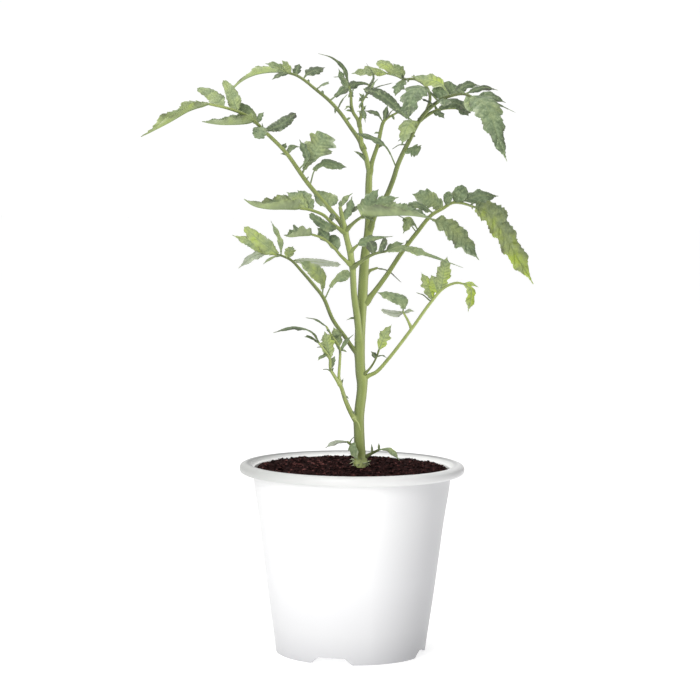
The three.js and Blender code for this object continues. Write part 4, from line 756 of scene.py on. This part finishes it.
def add_leaflet(blades, stalks, core, spec, draw, random):
    """A thin closed blade with lobes, veins and ripples, and its midrib as a tube on the stalks."""
    base = core.at_count(spec["at"])
    *via, tip = np.array(spec["points"], dtype=float)
    middle = (base + tip) / 2 + (0, 0, 0.1 * np.linalg.norm(tip - base))
    curve = Curve([base, *(via or [middle]), tip])
    length = curve.length
    stalk = min(0.14, 4 / length) if spec["stalk"] is None else spec["stalk"]
    rows = stations(spec, stalk, length, draw)
    wide = spec["wide"]

    knots = np.linspace(0, 1, 25)
    along = curve.along(knots)
    face = np.array(spec["face"], dtype=float)
    ups = np.vstack([carried(along[12::-1], face)[::-1], carried(along[12:], face)[1:]])
    sides = np.cross(along, ups)

    def spread(share, vectors):
        return unit(np.stack([np.interp(share, knots, vectors[:, k]) for k in range(3)], axis=-1))

    start = stalk * 0.6 if stalk * length > LONG_STALK else 0.02
    row_count = int(np.clip((1 - start) * length / ROW_SPACING, 14, 92))
    half_columns = 3 + int(wide > 3) + int(wide > 6) + 2 * int(wide > 10)
    inner = np.linspace(0, 0.9, half_columns) ** 0.9
    t = np.concatenate([[-1, -0.975], -inner[:0:-1], inner, [0.975, 1]])
    on_left = t[None, :] < 0
    share = np.linspace(start, 1, row_count)
    left = margin(rows, 1, share, length)
    right = margin(rows, 2, share, length)
    lead, wave = (np.interp(share, rows[:, 0], rows[:, k]) for k in (3, 4))
    reach_out = np.abs(t)[None, :]
    to_edge = 1 - reach_out
    width = np.where(on_left, left[:, None], right[:, None])
    swing = np.where(on_left, 1, -1) * wave[:, None]
    place = np.clip(share[:, None] + lead[:, None] * reach_out**1.2, 0, 1)

    from_vein = distance_from_veins(rows, share, reach_out, length)
    lateral = np.exp(-((from_vein / 0.34) ** 2)) * np.clip(to_edge * 3, 0, 1)
    midrib = np.exp(-((reach_out * width / 0.42) ** 2))

    phase = random.random(2) * 6.28
    ripple = np.sin(share * length * 0.75 + phase[0])[:, None] * np.where(on_left, 1, -1)
    ripple = ripple + 0.6 * np.sin(share * length * 1.7 + phase[1])[:, None]
    pillow = (1 - np.exp(-((from_vein / 1.1) ** 2))) * np.sqrt(np.clip(4 * reach_out * to_edge, 0, 1))
    lift = width * (spec["cup"] + swing) * reach_out**1.3
    lift = lift + 0.035 * width * ripple * reach_out**2 + 0.03 * wide * pillow - 0.2 * midrib
    up = spread(place, ups)
    surface = curve.at(place) + spread(place, sides) * (t[None, :] * width)[..., None] + up * lift[..., None]
    thick = BLADE_THICK * math.hypot(1, spec["cup"]) * (0.3 + 0.7 * np.clip(to_edge * 4, 0, 1))
    thick = thick * np.clip((1.02 - share) * 8, 0.3, 1)[:, None]
    half = up * (thick / 2)[..., None]

    left_tone, right_tone, tip_tone = spec["tones"]
    towards_tip = np.clip(2 * share[:, None] - 0.8, 0, 1) ** 1.5
    tone = np.where(on_left, left_tone, right_tone) * (1 - towards_tip) + tip_tone * towards_tip
    tone = tone + random.normal(0, 0.05)
    blades.add(
        np.concatenate([(surface + half).reshape(-1, 3), (surface - half).reshape(-1, 3)]),
        sheet_quads(row_count, len(t)),
        tone=np.tile(tone.ravel(), 2),
        vein=np.tile(midrib.ravel(), 2),
        crease=np.tile(lateral.ravel(), 2),
        under=np.repeat([0.0, 1.0], row_count * len(t)),
        edge=np.tile(reach_out.ravel() ** 3, 2 * row_count),
        pale=spec["pale"],
    )

    stalk_radius = 0.3 + 0.012 * min(wide, 18)

    def midrib_radius(share):
        return stalk_radius * (1.15 - 0.8 * share)

    def under_blade(share):
        depth = 0.75 * midrib_radius(share) * np.clip((share - stalk * 0.6) * 12, 0, 1)
        return -spread(share, ups) * depth[:, None]

    line = Curve(curve.at(np.linspace(0, 0.96, 9)))
    tone = 0.3 * left_tone - 0.35
    coat = add_tube(stalks, line, midrib_radius, 8, 0.9, sink=under_blade, tone=tone, vein=1.0)
    add_hairs(stalks, coat, 0.25, random, first_ring=0)


# The plant

def rib_radius(radii, curve, cover):
    """Radius along a rib: as the part sets it, and flared where it leaves what it grows from."""
    places = np.linspace(0, curve.spans, len(radii))

    def radius_at(share):
        plain = np.interp(curve.count_at(share), places, radii)
        clear = np.clip(share * curve.length - cover, 0, None)
        return plain * (1 + (0.5 * np.exp(-clear / 1.8) if cover else 0))

    return radius_at


def swelling_of(name):
    """How a node's ribs swell: two stems do towards their stalks, and the main one at its foot as well."""
    if name not in ("main_stem", "side_shoot"):
        return None
    to_stalks = joint_swelling(name)
    if name == "side_shoot":
        return to_stalks
    return lambda centre, out, angle: to_stalks(centre, out, angle) + foot_swelling(centre, out, angle)


def add_rib(stalks, name, number, one, core, random):
    """One rib of a node as a tube with its hairs; the first rib of the main stem has its knobs as well."""
    is_main = name == "main_stem"
    cover = 0 if is_main else STEM_COVER if number == 0 else RIB_COVER
    sides = 32 if is_main else 16
    spacing = 0.7 if name in STEMS else 1.1
    tone = main_stem_tone if is_main else STALK_TONES.get(name, 0)
    radius_at = rib_radius(one["radii"], core, cover)
    coat = add_tube(stalks, core, radius_at, sides, spacing, swell=swelling_of(name), tone=tone)
    if is_main and number == 0:
        add_hairs(stalks, coat, 0.7, random, first_ring=int(BURIED_LENGTH / spacing))
        add_knobs(stalks, np.random.default_rng(SCALE_SEED))
    else:
        add_hairs(stalks, coat, 0.7, random)


def build_plant(leaf, stem):
    for order, (name, ribs) in enumerate(PLANT.items()):
        draw = draws_from(STEM_SEED + order if name in STEMS else LEAF_SEED + order - len(STEMS))
        random = np.random.default_rng(HAIR_SEED + order)
        bud_draw = draws_from(BUD_WIDTH_SEED + order)
        bud_random = np.random.default_rng(BUD_SEED + order)
        blades, stalks = Shape(), Shape()
        for number, one in enumerate(ribs):
            core = Curve(one["path"])
            add_rib(stalks, name, number, one, core, random)
            for spec in one["leaflets"]:
                add_leaflet(blades, stalks, core, spec, draw, random)
            for _ in range(BUDS.get(name, 0)):
                add_leaflet(blades, stalks, core, bud(core, bud_random), bud_draw, bud_random)
        pieces = [(stalks, name + "_stalks", stem, "stem")]
        if blades.count:
            pieces.append((blades, name + "_blades", leaf, "young_leaf" if name in YOUNG else "leaf"))
        for shape, piece_name, material, slot in pieces:
            piece = shape.piece(piece_name, material)
            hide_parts(name)


# Pot

def rings_of(radii, heights, angle):
    """A ring of points round the Z axis for each radius, at heights given ring by ring or point by point."""
    x, y = (np.asarray(radii)[:, None] * part for part in (np.cos(angle), np.sin(angle)))
    return np.stack([x, y, np.broadcast_to(heights, x.shape)], axis=-1)


def notch_height(angle):
    """Height of the foot's lower edge at an angle: four gates with slanted sides are cut into it."""
    height = np.zeros_like(angle)
    for gate in NOTCH_ANGLES:
        # the part cuts its gates at the front, -Y, and turns them from there
        turn = (angle - math.radians(gate - 90) + math.pi) % (2 * math.pi) - math.pi
        from_middle = np.abs(np.sin(turn)) * FOOT_RADIUS + FAR_AWAY * (np.cos(turn) < 0)
        slope = (NOTCH_BELOW / 2 - from_middle) / ((NOTCH_BELOW - NOTCH_ABOVE) / 2)
        height = np.maximum(height, NOTCH_HEIGHT * np.clip(slope, 0, 1))
    return height


def smooth_profile(corners, count):
    curve = Curve([(radius, 0, height) for radius, height in corners])
    return [(p[0], p[2]) for p in curve.at(np.linspace(0, 1, count))]


def drain_cylinders():
    """Upright cylinders through the pot's floor, to be cut from it."""
    drains = Shape()
    angle = turns(DRAIN_SIDES)
    middle = np.arange(1, DRAIN_SIDES - 1)
    for at in DRAIN_ANGLES:
        turn = math.radians(at - 90)
        x = DRAIN_RING * math.cos(turn) + DRAIN_RADIUS * np.cos(angle)
        y = DRAIN_RING * math.sin(turn) + DRAIN_RADIUS * np.sin(angle)
        wall = np.vstack([np.column_stack([x, y, np.full(DRAIN_SIDES, z)]) for z in (0, 9)])
        below = np.stack([0 * middle, middle + 1, middle], axis=-1)
        above = DRAIN_SIDES + np.stack([0 * middle, middle, middle + 1], axis=-1)
        drains.add(wall, grid_quads(2, DRAIN_SIDES, closed=True), np.concatenate([below, above]))
    return drains


def build_pot(material):
    inside = [(radius - WALL, height) for radius, height in OUTER_WALL[::-1] if height > 5]
    foot = FOOT_RADIUS - FOOT_WIDTH
    profile = [
        (3, FLOOR_UNDERSIDE), (18, FLOOR_UNDERSIDE), (32, FLOOR_UNDERSIDE), (foot - 0.25, FLOOR_UNDERSIDE),
        (foot, FLOOR_UNDERSIDE - 0.2), (foot, 0.3), (foot + 0.3, 0), (FOOT_RADIUS - 0.35, 0),
        *smooth_profile([(FOOT_RADIUS - 0.02, 0.35), *OUTER_WALL[1:]], 44),
        *smooth_profile(RIM, 30)[1:],
        *smooth_profile(RIM_INSIDE, 12)[1:],
        *smooth_profile([RIM_INSIDE[-1], *inside, (FLOOR_RADIUS, FLOOR_TOP + FLOOR_CORNER[1])], 30)[1:],
        (FLOOR_RADIUS - FLOOR_CORNER[0], FLOOR_TOP), (24, FLOOR_TOP), (12, FLOOR_TOP), (3, FLOOR_TOP),
    ]
    angle = turns(POT_SIDES)
    radius, height = np.array(profile).T
    lowest = notch_height(angle)[None, :] + np.minimum(height, 0.3)[:, None] * 0.6
    lifted = np.maximum(height[:, None], lowest)
    z = np.where(height[:, None] < FLOOR_UNDERSIDE - 0.1, lifted, height[:, None])
    # where the painted shadow line runs along the rim's crest, strongest at the back and on the left
    crest = np.exp(-(((radius - CREST_RADIUS) / CREST_SPREAD) ** 2)) * (height > 95)
    away = np.clip(0.6 + np.sin(angle) - 0.25 * np.cos(angle), 0, 1)
    # the inside of the wall above the soil, which the pot's material paints lighter against the shade there
    within = (radius < CREST_RADIUS - 1) & (height > 40) & (np.arange(len(profile)) > np.argmax(height))
    shape = Shape()
    shape.add_rings(
        rings_of(radius, z, angle),
        [(0, 0, FLOOR_UNDERSIDE), (0, 0, FLOOR_TOP)],
        edge=np.append((crest[:, None] * away).ravel(), [0, 0]),
        under=np.append(np.repeat(within.astype(float), POT_SIDES), [0, 0]),
    )
    pot = shape.piece("nursery_pot", material, crease=40)

    cutter = drain_cylinders().piece("drain_cutter", material)
    cut = pot.modifiers.new("drains", "BOOLEAN")
    cut.operation = "DIFFERENCE"
    cut.solver = "EXACT"
    cut.object = cutter
    finished = bpy.data.meshes.new_from_object(pot.evaluated_get(bpy.context.evaluated_depsgraph_get()))
    pot.modifiers.clear()
    pot.data = finished
    bpy.data.objects.remove(cutter)
    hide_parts("pot")


# Soil

def soil_height(x, y):
    height = SOIL_TOP + SOIL_BUMP * np.sin(0.31 * x + 0.8) * np.cos(0.27 * y - 0.5)
    for scale, depth, turn in ((0.9, 0.35, 0.3), (1.7, 0.22, 1.4), (3.1, 0.12, 2.2)):
        u = x * math.cos(turn) + y * math.sin(turn)
        v = y * math.cos(turn) - x * math.sin(turn)
        height = height + depth * np.sin(scale * u + 2 * np.sin(0.4 * scale * v)) * np.cos(scale * v)
    fall = (np.hypot(x, y) - SOIL_LEVEL_RADIUS) / (SOIL_RADIUS - SOIL_LEVEL_RADIUS)
    return height - np.clip(fall, 0, 1)


def add_crumbs(shape, random, count, sizes, stretch):
    """Loose grains on the soil: lumpy solids of twenty faces, some drawn out into slivers."""
    golden = (1 + math.sqrt(5)) / 2
    card = [(-1, golden, 0), (1, golden, 0), (-1, -golden, 0), (1, -golden, 0)]
    corners = unit(np.concatenate([np.roll(card, turned, axis=1) for turned in range(3)]))
    faces = np.array([
        (0, 11, 5), (0, 5, 1), (0, 1, 7), (0, 7, 10), (0, 10, 11), (1, 5, 9), (5, 11, 4), (11, 10, 2),
        (10, 7, 6), (7, 1, 8), (3, 9, 4), (3, 4, 2), (3, 2, 6), (3, 6, 8), (3, 8, 9), (4, 9, 5),
        (2, 4, 11), (6, 2, 10), (8, 6, 7), (9, 8, 1),
    ])
    for _ in range(count):
        ring = CRUMB_RING * math.sqrt(random.random())
        turn = random.random() * 2 * math.pi
        x, y = ring * math.cos(turn), ring * math.sin(turn)
        if math.hypot(x - STEM_IN_SOIL[0], y - STEM_IN_SOIL[1]) < CRUMB_CLEARANCE:
            continue
        size = random.uniform(*sizes) * (0.6 + 0.4 * random.random())
        spin, _ = np.linalg.qr(random.normal(size=(3, 3)))
        if np.linalg.det(spin) < 0:
            spin[:, 0] *= -1
        lumpy = corners * random.uniform(0.72, 1.2, (12, 1)) * np.array(stretch) * size / 2
        place = np.array([x, y, soil_height(x, y) + size * random.uniform(-0.1, 0.16)])
        laid = (lumpy @ spin.T) * (1, 1, 0.6)
        shape.add(laid + place, (), faces, tone=1.2 * random.random() ** 5)


def build_soil(material):
    angle = turns(SOIL_SIDES)
    bottom = FLOOR_TOP + SOIL_GAP
    wall = [(FLOOR_RADIUS - SOIL_GAP, bottom), *((r - WALL - SOIL_GAP, h) for r, h in OUTER_WALL[2:])]
    radii, heights = np.array(wall).T
    surface = rings_of(np.linspace(0.6, SOIL_RADIUS, SOIL_RINGS)[::-1], 0.0, angle)
    surface[..., 2] = soil_height(surface[..., 0], surface[..., 1])
    shape = Shape()
    rings = np.concatenate([rings_of(radii, heights[:, None], angle), surface])
    shape.add_rings(rings, [(0, 0, bottom), (0, 0, soil_height(0, 0))], tone=0.1)
    random = np.random.default_rng(CRUMB_SEED)
    add_crumbs(shape, random, 2600, (0.7, 2.0), (1.2, 0.9, 0.75))
    add_crumbs(shape, random, 260, (1.8, 3.2), (1.2, 0.85, 0.6))
    add_crumbs(shape, random, 240, (1.2, 2.2), (2.6, 0.5, 0.35))
    soil = shape.piece("potting_soil", material, crease=80)
    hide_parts("soil")


# Materials

def srgb(red, green, blue):
    """A colour from the 0 to 255 values that a screen shows, in the linear values that shaders take."""
    shares = [value / 255 for value in (red, green, blue)]
    return (*(s / 12.92 if s <= 0.04045 else ((s + 0.055) / 1.055) ** 2.4 for s in shares), 1)


class Nodes:
    """The node tree of a material or world, with short ways to add the few kinds of node used here."""

    def __init__(self, owner):
        owner.use_nodes = True
        self.owner = owner
        self.tree = owner.node_tree

    def set(self, node, inputs):
        """Sets sockets, by name or number, to numbers and colours, or links other nodes' outputs to them."""
        for key, value in inputs.items():
            if isinstance(value, bpy.types.NodeSocket):
                self.tree.links.new(value, node.inputs[key])
            else:
                node.inputs[key].default_value = value

    def add(self, kind, output, inputs, **settings):
        node = self.tree.nodes.new("ShaderNode" + kind)
        for name, value in settings.items():
            setattr(node, name, value)
        self.set(node, inputs)
        return node.outputs[output]

    def value(self, name):
        return self.add("Attribute", "Fac", {}, attribute_name=name)

    def place(self, stretch=(1, 1, 1)):
        inputs = {"Vector": self.add("TexCoord", "Object", {}), "Scale": stretch}
        return self.add("Mapping", "Vector", inputs)

    def decimetres(self, axis):
        return self.add("SeparateXYZ", axis, {"Vector": self.place((10, 10, 10))})

    def noise(self, scale, detail=3.0, rough=0.55, stretch=(1, 1, 1)):
        inputs = {"Vector": self.place(stretch), "Scale": scale, "Detail": detail, "Roughness": rough}
        return self.add("TexNoise", "Fac", inputs)

    def ramp(self, source, stops):
        """Colours blended between places along a number: each stop is its place and its colour."""
        output = self.add("ValToRGB", "Color", {"Fac": source})
        elements = output.node.color_ramp.elements
        while len(elements) < len(stops):
            elements.new(0.5)
        for element, (position, colour) in zip(elements, stops):
            element.position = position
            element.color = colour
        return output

    def tints(self, source, *stops):
        return self.ramp(source, [(place, srgb(*colour)) for place, *colour in stops])

    def greys(self, source, *stops):
        return self.ramp(source, [(place, (grey, grey, grey, 1)) for place, grey in stops])

    def mix(self, share, first, second, blend="MIX"):
        inputs = {"Factor": share, 6: first, 7: second}
        return self.add("Mix", 2, inputs, data_type="RGBA", blend_type=blend)

    def math(self, operation, first, *others):
        return self.add("Math", "Value", dict(enumerate((first, *others))), operation=operation)

    def times(self, first, second):
        return self.math("MULTIPLY", first, second)

    def plus(self, first, second):
        return self.math("ADD", first, second)

    def bump(self, height, distance, strength, **before):
        inputs = {"Height": height, "Distance": distance, "Strength": strength, **before}
        return self.add("Bump", "Normal", inputs)

    def finish(self, **inputs):
        shader = self.tree.nodes["Principled BSDF"]
        self.set(shader, {name.replace("_", " "): value for name, value in inputs.items()})
        return self.owner


def leaf_material():
    n = Nodes(bpy.data.materials.new("tomato_leaf"))
    broad = n.times(n.math("SUBTRACT", n.noise(130, 2), 0.5), 2.0)
    shade = n.times(n.plus(n.plus(n.value("tone"), broad), 1.0), 1 / 2.2)
    top = n.tints(
        shade, (0.0, 96, 94, 88), (0.23, 98, 109, 86), (0.455, 129, 146, 111), (0.64, 151, 164, 118),
        (0.82, 165, 178, 114), (1.0, 170, 189, 80),
    )
    below = n.tints(
        shade, (0.0, 104, 104, 94), (0.3, 124, 136, 104), (0.6, 150, 163, 118), (1.0, 170, 188, 98),
    )
    darkness = n.math("SUBTRACT", 1.2, shade)
    crease = n.value("crease")
    mottle = n.greys(n.noise(800, 4, 0.7), (0.38, 0), (0.62, 1))
    pale_specks = n.greys(n.noise(760, 3, 0.6), (0.56, 0), (0.72, 1))
    top = n.mix(n.times(mottle, n.times(darkness, 0.72)), top, srgb(78, 96, 66))
    top = n.mix(n.times(pale_specks, n.times(darkness, 0.65)), top, srgb(184, 198, 152))
    # painted shade: the upper side is darker in the creases along the side veins
    top = n.mix(n.times(crease, 0.5), top, srgb(60, 78, 52))
    below = n.mix(n.times(crease, 0.3), below, srgb(172, 184, 140))
    colour = n.mix(n.value("under"), top, below)
    colour = n.mix(n.times(n.value("vein"), 0.25), colour, srgb(160, 174, 132))
    colour = n.mix(n.value("pale"), colour, srgb(208, 211, 198))
    patches = n.noise(160, 2)
    edge = n.value("edge")
    dark_rim = n.times(edge, n.greys(patches, (0.48, 0), (0.7, 1)))
    pale_rim = n.times(edge, n.greys(patches, (0.3, 1), (0.46, 0)))
    colour = n.mix(n.times(dark_rim, 0.8), colour, srgb(78, 76, 66))
    colour = n.mix(n.times(pale_rim, 0.55), colour, srgb(206, 212, 186))
    normal = n.bump(n.noise(1500, 4), 0.00015, 0.6)
    normal = n.bump(crease, 0.00015, -0.5, Normal=normal)
    return n.finish(
        Base_Color=colour,
        Roughness=n.plus(n.times(mottle, 0.15), 0.5),
        Specular_IOR_Level=0.2,
        Sheen_Weight=0.08,
        Sheen_Roughness=0.45,
        Sheen_Tint=srgb(215, 225, 205),
        Normal=normal,
    )


def stem_material():
    n = Nodes(bpy.data.materials.new("tomato_stem"))
    streaks = n.noise(260, 3, stretch=(1, 1, 0.12))
    shade = n.plus(n.times(n.value("tone"), 0.5), n.times(streaks, 0.4))
    # painted light: the stalk is lighter on its sunny side, with faint ridges
    shade = n.plus(shade, n.times(n.math("SUBTRACT", n.value("stripe"), 0.3), 0.95))
    colour = n.tints(
        shade, (0.0, 80, 88, 58), (0.35, 118, 129, 79), (0.65, 149, 162, 94), (1.0, 186, 197, 132),
    )
    colour = n.mix(n.times(n.value("vein"), 0.6), colour, srgb(134, 150, 112))
    colour = n.mix(n.value("hair"), colour, srgb(206, 214, 182))
    return n.finish(
        Base_Color=colour,
        Roughness=0.5,
        Specular_IOR_Level=0.2,
        Sheen_Weight=0.12,
        Sheen_Roughness=0.5,
        Sheen_Tint=srgb(225, 230, 205),
        Normal=n.bump(n.noise(1800, 3, stretch=(1, 1, 0.3)), 0.00012, 0.5),
    )


def pot_material():
    """White plastic with painted shade: the wall is whitest near the top and painted greyer towards the foot
    and at its left and right sides, and the rolled rim is painted greyer, darkest on the left. The inside of
    the wall above the soil is painted lighter, and a painted shadow line runs along the rim's crest.
    """
    n = Nodes(bpy.data.materials.new("white_pot_plastic"))
    height = n.decimetres("Z")
    across = n.plus(n.decimetres("X"), 0.6)
    # painted shade: the wall is darker towards the foot
    wall = n.tints(
        height, (0.0, 196, 196, 198), (0.15, 214, 214, 215), (0.4, 229, 229, 230), (0.7, 236, 236, 236),
    )
    # painted shade on the left and right sides of the pot
    shading = n.tints(
        across, (0.08, 244, 244, 244), (0.25, 255, 255, 255), (0.7, 255, 255, 255), (1.0, 226, 226, 228),
    )
    # painted shade on the rolled rim: greyer than the wall and darkest on the left
    rolled = n.tints(
        across, (0.02, 176, 177, 174), (0.25, 196, 197, 195), (0.55, 214, 214, 213), (0.8, 222, 222, 221),
        (1.0, 219, 219, 219),
    )
    colour = n.mix(n.greys(height, (0.908, 0), (0.914, 1)), n.mix(1.0, wall, shading, "MULTIPLY"), rolled)
    # painted light on the inside of the wall above the soil, against the shade that falls there
    colour = n.mix(n.value("under"), colour, srgb(246, 246, 245))
    # painted shadow line along the rim's crest
    colour = n.mix(n.value("edge"), colour, srgb(110, 111, 110))
    scuffs = n.greys(n.noise(420, 4, 0.7, stretch=(1, 1, 0.2)), (0.6, 0), (0.85, 1))
    return n.finish(
        Base_Color=n.mix(n.times(scuffs, 0.08), colour, srgb(206, 204, 200)),
        Roughness=n.plus(n.times(scuffs, 0.2), 0.38),
        Normal=n.bump(n.noise(1300, 3), 0.00006, 0.3),
    )


def soil_material():
    n = Nodes(bpy.data.materials.new("potting_soil"))
    grain = n.noise(700, 4, 0.65)
    dark = n.tints(grain, (0.3, 9, 3, 3), (0.6, 22, 7, 7), (0.85, 46, 19, 17))
    pale = n.tints(grain, (0.3, 42, 14, 14), (0.7, 134, 88, 84))
    return n.finish(
        Base_Color=n.mix(n.value("tone"), dark, pale),
        Roughness=0.95,
        Specular_IOR_Level=0.06,
        Normal=n.bump(n.noise(2400, 4, 0.7), 0.0002, 0.8),
    )


# Studio

FLOOR_GLOW = 0.68
FLOOR_HALF = 10.0
FLOOR_DROP = 0.00005  # keeps the floor just clear of the foot
WORLD_LEFT_TO_RIGHT = [(-1, 0.3), (-0.5, 0.5), (-0.18, 1), (0.18, 1), (0.6, 0.12)]
WORLD_FRONT_TO_BACK = [(-0.6, 0.7), (0, 1)]
WORLD_STRENGTH = 1.02
CAMERA_PLACE = (-1.58, -1200, 247)
CAMERA_PITCH = 4.42
CAMERA_ROLL = 0.52
CAMERA_LENS = 122.02


def floor_material():
    return Nodes(bpy.data.materials.new("studio_floor")).finish(
        Base_Color=(0.55, 0.55, 0.55, 1),
        Roughness=0.9,
        Specular_IOR_Level=0.1,
        Emission_Color=(1, 1, 1, 1),
        Emission_Strength=FLOOR_GLOW,
    )


def build_floor():
    mesh = bpy.data.meshes.new("studio_floor")
    corners = [(x * FLOOR_HALF, y * FLOOR_HALF, 0) for x, y in ((-1, -1), (1, -1), (1, 1), (-1, 1))]
    mesh.from_pydata(corners, [], [(0, 1, 2, 3)])
    mesh.materials.append(floor_material())
    floor = bpy.data.objects.new("studio_floor", mesh)
    floor.location.z = -FLOOR_DROP
    bpy.context.scene.collection.objects.link(floor)


def build_camera():
    camera = bpy.data.objects.new("camera", bpy.data.cameras.new("camera"))
    camera.data.lens = CAMERA_LENS
    camera.data.sensor_width = 36
    camera.data.clip_end = 50
    place = Matrix.Translation([value * MM for value in CAMERA_PLACE])
    pitch = Matrix.Rotation(math.radians(90 - CAMERA_PITCH), 4, "X")
    roll = Matrix.Rotation(math.radians(CAMERA_ROLL), 4, "Z")
    camera.matrix_world = place @ pitch @ roll
    bpy.context.scene.collection.objects.link(camera)
    bpy.context.scene.camera = camera


def add_softbox(name, place, target, size, watts):
    light = bpy.data.lights.new(name, "AREA")
    light.shape = "SQUARE"
    light.size = size
    light.energy = watts
    box = bpy.data.objects.new(name, light)
    forward = unit(np.array(target, dtype=float) - np.array(place, dtype=float))
    side = unit(np.cross(forward, (0, 0, 1)))
    up = np.cross(side, forward)
    box.matrix_world = Matrix([(side[k], up[k], -forward[k], place[k]) for k in range(3)] + [(0, 0, 0, 1)])
    bpy.context.scene.collection.objects.link(box)


def build_world():
    """White behind the plant, greyer in front and on the left, and a dark flag on the right."""
    world = bpy.data.worlds.new("studio")
    n = Nodes(world)
    direction = n.add("TexCoord", "Generated", {})
    shares = []
    for axis, stops in (("X", WORLD_LEFT_TO_RIGHT), ("Y", WORLD_FRONT_TO_BACK)):
        part = n.math("MULTIPLY_ADD", n.add("SeparateXYZ", axis, {"Vector": direction}), 0.5, 0.5)
        shares.append(n.greys(part, *(((place + 1) / 2, grey) for place, grey in stops)))
    light = n.mix(1, *shares, "MULTIPLY")
    n.set(n.tree.nodes["Background"], {"Color": light, "Strength": WORLD_STRENGTH})
    bpy.context.scene.world = world


build_plant(leaf_material(), stem_material())
build_pot(pot_material())
build_soil(soil_material())
build_floor()
build_camera()
build_world()
add_softbox("key", (-0.35, -0.9, 0.5), (0, 0, 0.1), size=0.5, watts=6)
add_softbox("top", (-0.2, 0.1, 1.3), (0, 0, 0), size=1.0, watts=7)
bpy.context.scene.view_settings.view_transform = "Standard"
